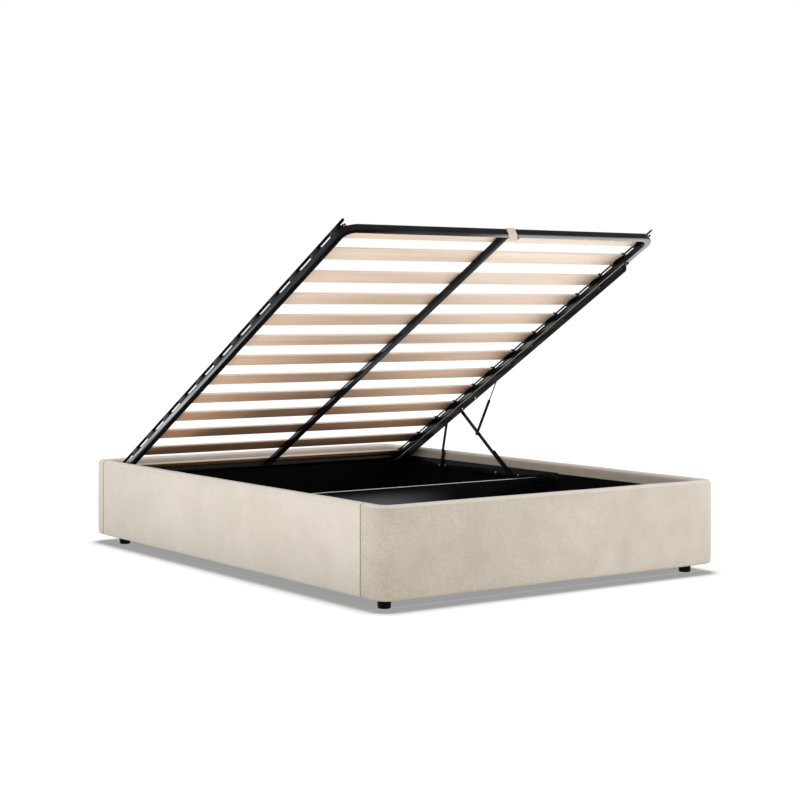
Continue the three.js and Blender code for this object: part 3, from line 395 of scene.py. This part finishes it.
def refined(node, body, name, material, width, steps=2, angle=30, smooth=40):
    """A copy of a CAD node, welded, with its flat faces joined and its sharp edges eased."""
    piece = bpy.data.objects.new(name, frame["nodes"][node].data.copy())
    bpy.context.scene.collection.objects.link(piece)
    piece.data.materials.clear()
    piece.data.materials.append(material)
    leave_selected(piece)
    bpy.ops.mesh.customdata_custom_splitnormals_clear()
    bpy.ops.object.mode_set(mode="EDIT")
    bpy.ops.mesh.select_all(action="SELECT")
    bpy.ops.mesh.remove_doubles(threshold=0.00001)
    bpy.ops.mesh.dissolve_limited(angle_limit=math.radians(0.5))
    bpy.ops.object.mode_set(mode="OBJECT")
    soften_edges(piece, width, steps, angle, smooth)
    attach(piece, body)
    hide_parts(node)
    return piece


liner_board = board_finish("black_liner_board", "040404", "080808")
# Painted light: the floor board is painted paler grey than the liners.
painted_lit_floor_board = board_finish("black_floor_board", "565657", "666667")
for side in ("left", "right", "foot", "head"):
    dress_node(f"{side}_liner", liner_board)
for part in ("foot", "head"):
    dress_node(f"floor_panel_{part}", painted_lit_floor_board)

# The divider's face gets the painted sheen.
divider_board = board_finish("black_divider_board", "040404", "080808", 0.8)
divider = refined("cross_divider", "base", "cross_divider_board", divider_board, 0.0006)
# The raw top edge is painted paler as painted light, and darker towards its right end as painted shade.
raw_lit_edge = Finish("divider_edge", roughness=0.5)
raw_x = raw_lit_edge.node("SeparateXYZ", inputs={0: raw_lit_edge.place()}, output=0)
raw_lit_tone = raw_lit_edge.blend(raw_lit_edge.grain(90.0, 3.0), tint("dededd"), tint("f0f0ee"))
raw_lit_edge.set(base_color=raw_lit_edge.blend(raw_lit_edge.step(raw_x, 0.5, 0.57), raw_lit_tone, tint("5c5c5b")))
divider.data.materials.append(raw_lit_edge.material)
for face in divider.data.polygons:
    if face.normal.z > 0.9 and face.center.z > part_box("cross_divider")[1].z - 0.001:
        face.material_index = 1

# Floor bearers, corner blocks and rest blocks
# Planed softwood battens screwed inside the rails: they carry the floor, tie the corners and hold
# the feet, and two blocks on the foot rail take the lowered slat frame.


def softwood_finish():
    pine = Finish("planed_softwood", roughness=0.65)
    rings = pine.grain(34.0, 2.0, (1, 0.08, 1))
    lines = pine.step(pine.maths("SINE", rings * 34.0), -0.2, 0.9)
    pine.set(base_color=pine.blend(lines, tint("d9b98c"), tint("bf9462")))
    pine.bump(pine.grain(210.0, 2.0, (1, 0.1, 1)), 0.2, 0.0005)
    return pine.material


softwood = softwood_finish()
blocks = [f"corner_block_{end}_{side}" for end in ("foot", "head") for side in ("left", "right")]
bearers = ["floor_bearer_left", "floor_bearer_right", "centre_floor_beam"]
for node in blocks + bearers + ["left_rest_block", "right_rest_block"]:
    refined(node, "base", f"{node}_planed", softwood, 0.0012)

# Feet
# Six short tapered feet of black moulded plastic, screwed to the corner blocks and to the beam.


def plastic_finish(name, colour, roughness):
    plastic = Finish(name, specular_ior_level=0.08)
    mould = plastic.grain(700.0, 2.0)
    patch = plastic.step(plastic.grain(18.0, 2.0), 0.35, 0.7)
    plastic.set(base_color=plastic.blend(patch * 0.6, tint(colour), tint("151312")))
    plastic.set(roughness=roughness + 0.12 * mould)
    plastic.bump(mould, 0.12, 0.0004)
    return plastic.material


foot_plastic = plastic_finish("black_foot_plastic", "0e0e0e", 0.42)
for place in ("front_left", "front_right", "rear_left", "rear_right", "middle_front", "middle_rear"):
    refined(
        f"foot_{place}", "base", f"foot_{place}_moulded", foot_plastic, 0.001, 3,
    )

# Steel tube frame
# Rectangular steel tube bent into a U, with a cross tube at the head and a flat bar down the
# middle, welded and enamelled gloss black. It turns on two hinges inside the side rails.
lift = next(joint for joint in frame["joints"] if joint["name"] == "lift")
lift_angle = math.radians(lift["range_deg"][1])
hinge = Vector(lift["pos_m"])
hinge_inset = 0.04
hinge_rise = 0.038
frame_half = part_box("perimeter_tube")[1].x
tube_width = 0.026
tube_depth = 0.0216
tube_rounding = 0.0026
tube_wall = 0.0015
tube_corner = 0.06
tube_head_reach = 0.027
foot_u = 1.901


def enamel_finish(name, roughness, dust):
    enamel = Finish(name, specular_ior_level=0.13)
    peel = enamel.grain(120.0, 2.0)
    film = enamel.step(enamel.grain(6.0, 4.0), 0.4, 0.75)
    enamel.set(base_color=enamel.blend(film * dust, tint("060708"), tint("16181a")))
    enamel.set(roughness=roughness + 0.1 * film)
    enamel.bump(peel, 0.06, 0.0006)
    return enamel.material


def raise_frame(piece):
    """Moves a piece that was modelled flat, in the frame's own place, to the lifted position."""
    lifted = Matrix.Translation(hinge) @ Matrix.Rotation(-lift_angle, 4, "X")
    piece.matrix_world = lifted @ Matrix.Translation((0, hinge_inset, -hinge_rise)) @ piece.matrix_world
    leave_selected(piece)
    bpy.ops.object.transform_apply()


black_enamel = enamel_finish("gloss_black_enamel", 0.16, 0.5)
tube = begin_section(
    "perimeter_tube_bent", -frame_half + tube_width / 2, tube_head_reach, tube_depth / 2,
    tube_width, tube_depth, tube_rounding, 4,
)
bpy.ops.mesh.select_all(action="SELECT")
bpy.ops.mesh.delete(type="ONLY_FACE")
bpy.ops.mesh.select_all(action="SELECT")
bend_y = tube_corner - foot_u
draw_out((0, bend_y - tube_head_reach, 0), 12)
turn_out((tube_corner - frame_half, bend_y, 0), quarter_turn, 16)
draw_out((2 * (frame_half - tube_corner), 0, 0), 8)
turn_out((frame_half - tube_corner, bend_y, 0), quarter_turn, 16)
draw_out((0, tube_head_reach - bend_y, 0), 12)
close_edit()
apply_modifier(tube, "SOLIDIFY", thickness=tube_wall, offset=-1)
leave_selected(tube)
bpy.ops.object.shade_smooth_by_angle(angle=math.radians(50))
raise_frame(tube)
tube.data.materials.append(black_enamel)
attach(tube, "lift_frame")
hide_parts("perimeter_tube")
for node in ("head_cross_tube", "centre_bar"):
    refined(node, "lift_frame", f"{node}_enamelled", black_enamel, 0.0004, 2, 40, 50)

# Sprung slats
# Thirteen slats of lacquered birch ply, with rounded long edges. The plies run along the slat and
# show as fine lines at its edges. Painted shade makes the wood darker towards the head, most so on
# the undersides, and painted light makes the ply edges a little paler there.
slat_names = [name for name in frame["nodes"] if name.startswith("slat_")]
last_slat = len(slat_names) - 1
slat_end = 0.668
along_tilt = Vector((0, math.cos(lift_angle), -math.sin(lift_angle)))
up_tilt = Vector((0, math.sin(lift_angle), math.cos(lift_angle)))


def towards_head(finish):
    """Runs from 0 at the foot end of the slats to 1 at their head end."""
    here = finish.node("TexCoord", output=3)
    reach = finish.node("VectorMath", {"operation": "DOT_PRODUCT"}, {0: here, 1: along_tilt}, 1)
    last = (hinge + Vector((0, hinge_inset, 0))).dot(along_tilt)
    return finish.node("MapRange", inputs={"Value": reach, "From Min": last - foot_u, "From Max": last})


def birch_finish(name, rough, head_shade_share):
    birch = Finish(name, coat_weight=0.03, coat_roughness=0.3, specular_ior_level=0.12)
    figure = birch.step(birch.grain(26.0, 4.0, (0.06, 1, 1)), 0.32, 0.7)
    fibre = birch.grain(330.0, 3.0, (0.02, 1, 1))
    cloud = birch.step(birch.grain(3.2, 3.0), 0.35, 0.68)
    # Painted shade: the wood is painted darker and browner towards the head.
    painted_head_shade = towards_head(birch) * head_shade_share
    pale = birch.blend(painted_head_shade, tint("f2e2d1"), tint("dba57a"))
    warm = birch.blend(painted_head_shade, tint("ead6c0"), tint("c68c5e"))
    colour = birch.blend(cloud * 0.25, birch.blend(figure, warm, pale), warm)
    birch.set(base_color=birch.blend(birch.step(fibre, 0.58, 0.8) * 0.22, colour, tint("c08d68")))
    birch.set(roughness=rough + 0.15 * fibre)
    birch.bump(fibre, 0.12, 0.0004)
    return birch.material


def ply_edge_finish():
    edge = Finish("birch_ply_edge", roughness=0.55, specular_ior_level=0.12)
    here = edge.node("TexCoord", output=3)
    level = edge.node("VectorMath", {"operation": "DOT_PRODUCT"}, {0: here, 1: up_tilt}, 1)
    plies = edge.step(edge.maths("SINE", level * 4200.0), 0.2, 0.9)
    # Painted light: the ply edges are painted a little paler towards the head.
    pale = edge.blend(towards_head(edge), tint("f6e8da"), tint("fbeee0"))
    colour = edge.blend(edge.grain(60.0, 3.0, (0.05, 1, 1)) * 0.5, pale, tint("e4c6a8"))
    edge.set(base_color=edge.blend(plies * 0.12, colour, tint("b88c66")))
    return edge.material


birch_face = birch_finish("birch_ply_underside", 0.42, 1.0)
birch_top = birch_finish("birch_ply_top", 0.42, 0.2)
ply_edge = ply_edge_finish()
for name in slat_names:
    slat = refined(name, "lift_frame", f"{name}_ply", birch_face, 0.0004, 1, 50, 60)
    slat.data.materials.append(ply_edge)
    slat.data.materials.append(birch_top)
    for vertex in slat.data.vertices:
        vertex.co.x = max(-slat_end, min(slat_end, vertex.co.x))
    for face in slat.data.polygons:
        if abs(face.normal.dot(along_tilt)) > 0.75 or abs(face.normal.x) > 0.75:
            face.material_index = 1
        elif face.normal.dot(up_tilt) > 0:
            face.material_index = 2

# Slat holder strips
# A thin angle of black plastic along each side tube, with a toe near its tip and a cap for every
# slat end. A cap grips its slat between a floor and a roof, and ends in a curved mouth with two
# small lugs. The first and the last slat sit a little nearer to the head than an even spacing.
strip_plastic = plastic_finish("black_strip_plastic", "0b0908", 0.4)
cap_base_n = 0.022
cap_height = 0.0153
cap_mouth = 0.023
cap_bulge = 0.014
cap_lug = 0.005
cap_lug_width = 0.004
cap_head_half = 0.04
cap_foot_half = 0.038
cap_wall_foot_half = 0.0262
cap_wall_head_half = 0.026
cap_step_reach = 0.0215
cap_step = 0.001
cap_floor = 0.0035
cap_slot = 0.0091
slat_pitch = 0.1515
first_slat_u = 1.8525
end_slat_shift = 0.015
mouth_cuts = 18
strip_low = 0.0337
strip_top = 0.041
strip_skin = 0.0015
strip_inset = 0.0026
strip_reach = 0.0105
strip_tip_u = 1.9
strip_tip_radius = 0.0012
strip_web_setback = 0.003
strip_toe_u = 1.885
strip_toe_length = 0.021
strip_toe_top = 0.029
hair = 0.0001


def pick_edges(piece, test):
    """Selects the edges whose middle passes a test."""
    bpy.ops.mesh.select_all(action="DESELECT")
    mesh = bmesh.from_edit_mesh(piece.data)
    for edge in mesh.edges:
        if test((edge.verts[0].co + edge.verts[1].co) / 2):
            edge.select_set(True)
    bmesh.update_edit_mesh(piece.data)


def plank(name, low, high):
    """A square-edged bar between two corners."""
    bpy.ops.object.select_all(action="DESELECT")
    middle = (Vector(low) + Vector(high)) / 2
    bpy.ops.mesh.primitive_cube_add(size=1, location=middle)
    piece = bpy.context.object
    piece.name = piece.data.name = name
    piece.scale = Vector(high) - Vector(low)
    bpy.ops.object.transform_apply()
    return piece


def slat_cap():
    """One cap of the right strip, with its outer face at x = 0 and its slat's middle at y = 0."""
    bpy.ops.object.select_all(action="DESELECT")
    bpy.ops.mesh.primitive_plane_add(size=2, location=(-cap_mouth / 2, 0, 0))
    piece = bpy.context.object
    piece.scale = (cap_mouth / 2, cap_head_half, 1)
    bpy.ops.object.transform_apply()
    bpy.ops.object.mode_set(mode="EDIT")
    pick_edges(piece, lambda middle: middle.x < -cap_mouth * 0.99)
    bpy.ops.mesh.subdivide(number_cuts=mouth_cuts)
    pick_edges(piece, lambda middle: abs(middle.y) > cap_head_half * 0.99)
    bpy.ops.mesh.subdivide(number_cuts=2)
    bpy.ops.object.mode_set(mode="OBJECT")
    for vertex in piece.data.vertices:
        point = vertex.co
        share = point.y / cap_head_half
        if point.x < -cap_mouth * 0.99:
            edge = abs(share) > 1 - cap_lug_width / cap_head_half * 2
            point.x -= cap_lug if edge else cap_bulge * (1 - share * share)
        elif point.x < -cap_mouth / 2:
            point.x = -cap_step_reach - cap_step
        else:
            point.x = min(point.x, -cap_step_reach) if point.x < -0.001 else 0
            point.y = cap_wall_head_half if share > 0 else -cap_wall_foot_half
    for vertex in piece.data.vertices:
        vertex.co.y = max(vertex.co.y, -cap_foot_half)
    bpy.ops.object.mode_set(mode="EDIT")
    bpy.ops.mesh.select_all(action="SELECT")
    draw_out((0, 0, cap_height))
    close_edit()
    reach = cap_mouth + cap_bulge
    slot_back = slat_end - frame_half
    half = cap_foot_half - cap_lug_width / 2
    slot = plank("slot", (-2 * reach, -half, cap_floor), (slot_back, half, cap_floor + cap_slot))
    apply_modifier(piece, "BOOLEAN", object=slot, operation="DIFFERENCE", solver="EXACT")
    bpy.data.objects.remove(slot)
    soften_edges(piece, 0.0007, 2, 50, 50)
    return piece


def holder_strip(side, sign):
    last_cap = first_slat_u - last_slat * slat_pitch - end_slat_shift - cap_head_half
    inner, outer = frame_half - strip_reach, frame_half - strip_inset
    lip = plank("lip", (inner, -strip_tip_u, strip_top - strip_skin), (outer, -last_cap, strip_top))
    tip_corner = Vector((outer, -strip_tip_u, strip_top - strip_skin / 2))
    bpy.ops.object.mode_set(mode="EDIT")
    pick_edges(lip, lambda middle: (middle - tip_corner).length < hair)
    bpy.ops.mesh.bevel(offset=strip_tip_radius, segments=6)
    bpy.ops.object.mode_set(mode="OBJECT")
    web_low = (inner, strip_web_setback - strip_tip_u, strip_low)
    web = plank("web", web_low, (inner + strip_skin, -last_cap, strip_top - strip_skin / 2))
    toe_low = (inner, -strip_toe_u, cap_base_n)
    toe = plank("toe", toe_low, (inner + strip_skin, strip_toe_length - strip_toe_u, strip_toe_top))
    parts = [lip, web, toe]
    for bar in parts:
        soften_edges(bar, 0.0004, 2, 50, 50)
    for index in range(last_slat + 1):
        cap = cap_model.copy()
        cap.data = cap_model.data.copy()
        bpy.context.scene.collection.objects.link(cap)
        along = index * slat_pitch + (0 if index % last_slat else end_slat_shift)
        place = Vector((frame_half, along - first_slat_u, cap_base_n))
        cap.data.transform(Matrix.Translation(place))
        parts.append(cap)
    leave_selected(lip)
    for part in parts:
        part.select_set(True)
    bpy.ops.object.join()
    strip = bpy.context.object
    strip.name = strip.data.name = f"{side}_strip_moulded"
    if sign < 0:
        strip.data.transform(Matrix.Scale(-1, 4, (1, 0, 0)))
        strip.data.flip_normals()
    raise_frame(strip)
    strip.data.materials.clear()
    strip.data.materials.append(strip_plastic)
    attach(strip, "lift_frame")
    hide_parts(f"{side}_holder_strip")


cap_model = slat_cap()
holder_strip("left", -1)
holder_strip("right", 1)
bpy.data.objects.remove(cap_model)

# Hinges, mechanism rail and side plate
# Pressed steel plates: hinge brackets let into the side rails with their pins, ears on the frame,
# and on the right the screwed rail and the angle plate that the folding stays turn on.
rail_plate_thickness = 0.0025
screw_height = 0.0012
bolt_height = 0.002
fold_width = 0.0032
depth_slack = 0.0003


def steel_finish(name, dark, light):
    steel = Finish(name, metallic=1.0, specular_ior_level=0.5)
    spangle = steel.grain(150.0, 2.0)
    steel.set(base_color=steel.blend(spangle, tint(dark), tint(light)))
    steel.set(roughness=0.26 + 0.14 * spangle)
    return steel.material


plate_enamel = enamel_finish("satin_black_enamel", 0.34, 0.5)
bright_zinc = steel_finish("bright_zinc", "a9abac", "d4d6d7")
dull_steel = steel_finish("blackened_steel", "34363a", "47494c")
ground_steel = steel_finish("ground_steel", "55575a", "717376")
for side in ("left", "right"):
    refined(
        f"{side}_hinge_bracket", "base", f"{side}_hinge_bracket_pressed",
        plate_enamel, 0.0005,
    )
    refined(
        f"{side}_hinge_ear", "lift_frame", f"{side}_hinge_ear_pressed",
        plate_enamel, 0.0005,
    )
    refined(
        f"{side}_hinge_pin", "base", f"{side}_hinge_pin_turned", bright_zinc, 0.0006,
    )
rail_plate = refined(
    "mechanism_rail", "base", "mechanism_rail_pressed", plate_enamel, 0.0004,
)
rail_plate.data.materials.append(bright_zinc)
rail_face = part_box("mechanism_rail")[1].x - rail_plate_thickness
for face in rail_plate.data.polygons:
    proud = rail_face - face.center.x
    if face.normal.x < -0.5 and depth_slack < proud < screw_height + depth_slack:
        face.material_index = 1
side_plate = refined("side_plate", "lift_frame", "side_plate_pressed", plate_enamel, 0.0005)
leave_selected(side_plate)
bpy.ops.object.mode_set(mode="EDIT")
bpy.ops.mesh.select_all(action="SELECT")
fold_line = hinge + up_tilt * (-hinge_rise - fold_width)
bpy.ops.mesh.bisect(plane_co=fold_line, plane_no=up_tilt)
bpy.ops.object.mode_set(mode="OBJECT")
# Painted highlight: a pale grey strip along the plate's fold stands for the gloss highlight there.
painted_fold_highlight = Finish("fold_painted_highlight_enamel", roughness=0.4)
painted_fold_highlight.set(base_color=painted_fold_highlight.blend(painted_fold_highlight.grain(40.0, 3.0), tint("a8a6a2"), tint("c9c7c3")))
side_plate.data.materials.append(painted_fold_highlight.material)
side_plate.data.materials.append(dull_steel)
plate_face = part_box("side_plate")[0].x + bolt_height
for face in side_plate.data.polygons:
    if face.normal.x < -0.2 and (face.center - fold_line).dot(up_tilt) > 0:
        face.material_index = 1
    elif face.normal.x < -0.5 and face.center.x < plate_face - depth_slack:
        face.material_index = 2

# Folding stays and gas strut
# Flat steel arms riveted at the knee and turning on studs. The strut is a black cylinder with a
# ground steel rod, between the front stay and the side plate.
pivots = {joint["name"]: Vector(joint["pos_m"]) for joint in frame["joints"] if "pos_m" in joint}
arm_spread = {"front_lower": 1.55, "front_upper": 1.15, "rear_lower": 1.7, "rear_upper": 1.4}
strut_spread = 1.25


def spread(piece, start, end, factor):
    """Makes a long piece wider about the line between two pivots."""
    along = (end - start).normalized()
    across = Vector((0, -along.z, along.y))
    for vertex in piece.data.vertices:
        vertex.co += across * ((vertex.co - start).dot(across) * (factor - 1))


for body, factor in arm_spread.items():
    arm = refined(f"{body}_arm", body, f"{body}_arm_stamped", plate_enamel, 0.0004)
    stay = body.split("_")[0]
    spread(arm, pivots[f"{stay}_lower_turn"], pivots[f"{stay}_upper_turn"], factor)
barrel = refined("strut_cylinder", "cylinder", "strut_cylinder_drawn", black_enamel, 0.0008)
rod = refined("strut_rod", "rod", "strut_rod_ground", ground_steel, 0.0005)
slide = next(joint for joint in frame["joints"] if joint["name"] == "strut_slide")
for piece in (barrel, rod):
    spread(piece, pivots["strut_turn"], pivots["strut_turn"] + Vector(slide["axis"]), strut_spread)

# Pull strap
# A loop of pale beige webbing round the foot tube, sewn to itself at the front, with a short tail
# to pull the frame down by. It is thin enough to pass between the tube and the foot rail.
strap_width = 0.036
strap_thickness = 0.0015
strap_left = 0.0177
strap_lean = 0.034
strap_ease = 0.0003
strap_bow = 0.0003
strap_hang = 0.02
strap_turn = 0.005
strap_fold = 0.0022


def webbing_finish():
    web = Finish("beige_webbing", roughness=0.9, sheen_weight=0.2)
    lay = web.node("UVMap", {"uv_map": "cloth"})
    across = web.node("SeparateXYZ", inputs={0: lay}, output=0)
    along = web.node("SeparateXYZ", inputs={0: lay}, output=1)
    ribs = web.maths("SINE", across * 3600.0)
    picks = web.maths("SINE", along * 2400.0)
    weave = web.step(ribs * picks, -0.6, 0.8)
    tone = web.blend(web.grain(60.0, 3.0), tint("d8cdbd"), tint("e4dccf"))
    web.set(base_color=web.blend(weave * 0.4, tone, tint("c5b8a4")))
    web.bump(ribs * 0.7 + picks * 0.3, 0.5, 0.0008)
    return web.material


def strap_path():
    """The loop's folds in y and z of the flat frame, each with its share of the sideways lean."""
    out = strap_ease + strap_thickness / 2
    front = -foot_u - out
    rear = tube_width - foot_u + out
    fall = Vector((math.sin(lift_angle), -math.cos(lift_angle))) * strap_hang
    bottom = Vector((front - strap_bow * 0.6, -out)) + fall
    return [
        (rear, tube_depth + out, 0),
        (front, tube_depth + out, 1),
        (front - strap_bow, tube_depth * 0.45, 1),
        (front - strap_bow * 0.6, -out, 0.95),
        (bottom.x, bottom.y, 0.88),
        (bottom.x + strap_turn, bottom.y, 0.85),
        (rear, -out, 0),
        (rear, tube_depth + out, 0),
    ]


def sewn_band(name, folds):
    """A band drawn out edge by edge from fold to fold, then given its thickness."""
    bpy.ops.object.select_all(action="DESELECT")
    bpy.ops.mesh.primitive_plane_add(size=strap_width)
    piece = bpy.context.object
    piece.name = piece.data.name = name
    bpy.ops.object.mode_set(mode="EDIT")
    mesh = bmesh.from_edit_mesh(piece.data)
    for vertex in mesh.verts:
        vertex.select_set(vertex.co.y > 0)
    mesh.select_flush_mode()
    bmesh.update_edit_mesh(piece.data)
    bpy.ops.mesh.delete(type="VERT")
    bpy.ops.mesh.select_all(action="SELECT")
    y, z, lean = folds[0]
    middle = strap_left + strap_width / 2 - lean * strap_lean
    bpy.ops.transform.translate(value=(middle, y + strap_width / 2, z))
    for here, there in zip(folds, folds[1:]):
        step = Vector(there) - Vector(here)
        draw_out((-step.z * strap_lean, step.x, step.y), 3)
    bpy.ops.mesh.select_all(action="SELECT")
    bpy.ops.mesh.remove_doubles(threshold=0.0002)
    bpy.ops.object.mode_set(mode="OBJECT")
    layer = piece.data.uv_layers.new(name="cloth")
    for corner in piece.data.loops:
        point = piece.data.vertices[corner.vertex_index].co
        layer.data[corner.index].uv = (point.x, point.z - point.y)
    apply_modifier(
        piece, "BEVEL", width=strap_fold, segments=4, limit_method="ANGLE",
        angle_limit=math.radians(12),
    )
    apply_modifier(piece, "SOLIDIFY", thickness=strap_thickness, offset=0)
    soften_edges(piece, 0.0005, 2, 60, 60)
    raise_frame(piece)
    piece.data.materials.append(webbing)
    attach(piece, "lift_frame")
    return piece


def band_length(folds):
    turns = [Vector((y, z, lean * strap_lean)) for y, z, lean in folds]
    return sum((b - a).length for a, b in zip(turns, turns[1:]))


webbing = webbing_finish()
loop_folds = strap_path()
loop = sewn_band("pull_strap_loop", loop_folds)
ply = strap_thickness * 1.05
tail_folds = [(y - ply, z, lean) for y, z, lean in loop_folds[1:5]]
tail = sewn_band("pull_strap_tail", tail_folds)
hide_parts("pull_strap")
loop_flat = (strap_width, band_length(loop_folds))
tail_flat = (strap_width, band_length(tail_folds))

# Floor
# A white studio floor. A soft grey band painted round the bed's footprint is a painted contact shadow,
# with a painted lighter line across it near the foot end.
floor_size = 60.0
shadow_edge = -0.004
shadow_near = 0.03
shadow_far = 0.086
light_line_y = -0.952
light_line_half = 0.018
bpy.ops.object.select_all(action="DESELECT")
bpy.ops.mesh.primitive_plane_add(size=floor_size)
floor = bpy.context.object
floor.name = "studio_floor"
paper = Finish("white_floor", roughness=1.0, specular_ior_level=0.0, emission_strength=1.0)
spot = paper.place()
floor_x = paper.maths("ABSOLUTE", paper.node("SeparateXYZ", inputs={0: spot}, output=0))
floor_y = paper.node("SeparateXYZ", inputs={0: spot}, output=1)
past_x = paper.maths("MAXIMUM", floor_x - corner_x, 0.0)
past_y = paper.maths("MAXIMUM", paper.maths("ABSOLUTE", floor_y) - corner_y, 0.0)
away = paper.maths("SQRT", past_x * past_x + past_y * past_y) - corner_radius
# Painted shadow: the floor's colour and glow are grey in a band round the footprint.
edge = paper.step(away, shadow_edge - 0.008, shadow_near)
fringe = paper.step(away, shadow_edge, shadow_far)
clear = edge * 0.5 + fringe * 0.5
# Painted light: a lighter line across the painted shadow band near the foot end.
painted_light_line = 1 - paper.step(paper.maths("ABSOLUTE", floor_y - light_line_y), 0.0, light_line_half)
paper.set(base_color=paper.blend(clear, tint("404040"), tint("e6e6e6")))
glow = paper.blend(painted_light_line * 0.35, tint("9b9b9b"), tint("bababa"))
paper.set(emission_color=paper.blend(clear, glow, tint("c8c8c8")))
floor.data.materials.append(paper.material)

# Studio light
# A white room for soft light all round, with panels overhead, in front, low beside the bed and in
# the storage space, which light the undersides of the slats. Two more panels show only in gloss
# and give the black tubes their highlights.
world = bpy.data.worlds.new("white_room")
bpy.context.scene.world = world
world.use_nodes = True
tree = world.node_tree
room_light = tree.nodes["Background"]
room_light.inputs["Color"].default_value = (1, 1, 1, 1)
room_light.inputs["Strength"].default_value = 0.7
seen = tree.nodes.new("ShaderNodeBackground")
seen.inputs["Color"].default_value = (1, 1, 1, 1)
seen.inputs["Strength"].default_value = 1.0
path = tree.nodes.new("ShaderNodeLightPath")
choose = tree.nodes.new("ShaderNodeMixShader")
either = tree.nodes.new("ShaderNodeMath")
either.operation = "MAXIMUM"
any_ray = tree.nodes.new("ShaderNodeMath")
any_ray.operation = "MAXIMUM"
tree.links.new(path.outputs["Is Camera Ray"], either.inputs[0])
tree.links.new(path.outputs["Is Glossy Ray"], either.inputs[1])
tree.links.new(either.outputs[0], any_ray.inputs[0])
tree.links.new(path.outputs["Is Transmission Ray"], any_ray.inputs[1])
tree.links.new(any_ray.outputs[0], choose.inputs[0])
tree.links.new(room_light.outputs[0], choose.inputs[1])
tree.links.new(seen.outputs[0], choose.inputs[2])
tree.links.new(choose.outputs[0], tree.nodes["World Output"].inputs["Surface"])


def panel(name, place, aim, width, height, power):
    """An area lamp that faces a point."""
    lamp = bpy.data.lights.new(name, "AREA")
    lamp.shape = "RECTANGLE"
    lamp.size = width
    lamp.size_y = height
    lamp.energy = power
    holder = bpy.data.objects.new(name, lamp)
    bpy.context.scene.collection.objects.link(holder)
    holder.location = place
    holder.visible_camera = False
    holder.rotation_euler = (Vector(aim) - Vector(place)).to_track_quat("-Z", "Y").to_euler()
    return holder


panel("overhead_panel", (0.4, 0.4, 4.2), (0, 0, 0.3), 3.2, 3.2, 26)
gloss_left = panel("rear_left_panel", (-2.7, 3.8, 0.32), (-0.7, 0.3, 0.45), 1.3, 0.6, 26)
gloss_right = panel("low_right_panel", (1.55, -0.1, 0.04), (1.55, -0.1, 1), 1.4, 0.8, 14)
for gloss in (gloss_left, gloss_right):
    gloss.visible_diffuse = False
panel("right_panel", (1.75, 0.4, 0.03), (1.75, 0.4, 1), 0.5, 1.6, 1.6)
panel("low_left_panel", (-1.35, -0.25, 0.03), (-1.35, -0.25, 1), 0.12, 2.2, 7)
panel("low_front_panel", (0.3, -2.8, 0.03), (0.3, -2.8, 1), 2.6, 1.0, 12)
panel("storage_panel", (0.42, -0.25, 0.33), (0.42, -0.25, 1), 0.5, 1.4, 1.4)
panel("front_right_panel", (2.6, -3.2, 1.1), (0.5, -1, 0.3), 1.0, 1.0, 16)

# Camera
# Level, at about eye height of someone seated, turned towards the foot corner on the left.
lens_width = 36.0
camera_data = bpy.data.cameras.new("photo_view")
camera_data.lens = 77.55
camera_data.sensor_width = lens_width
camera_data.shift_y = -0.1143
camera_data.clip_end = 200
camera = bpy.data.objects.new("photo_view", camera_data)
camera.location = (-3.7554, -5.4107, 0.9457)
camera.rotation_euler = (math.radians(90), 0, -math.radians(35.2347))
bpy.context.scene.collection.objects.link(camera)
bpy.context.scene.camera = camera
bpy.context.scene.view_settings.view_transform = "Standard"
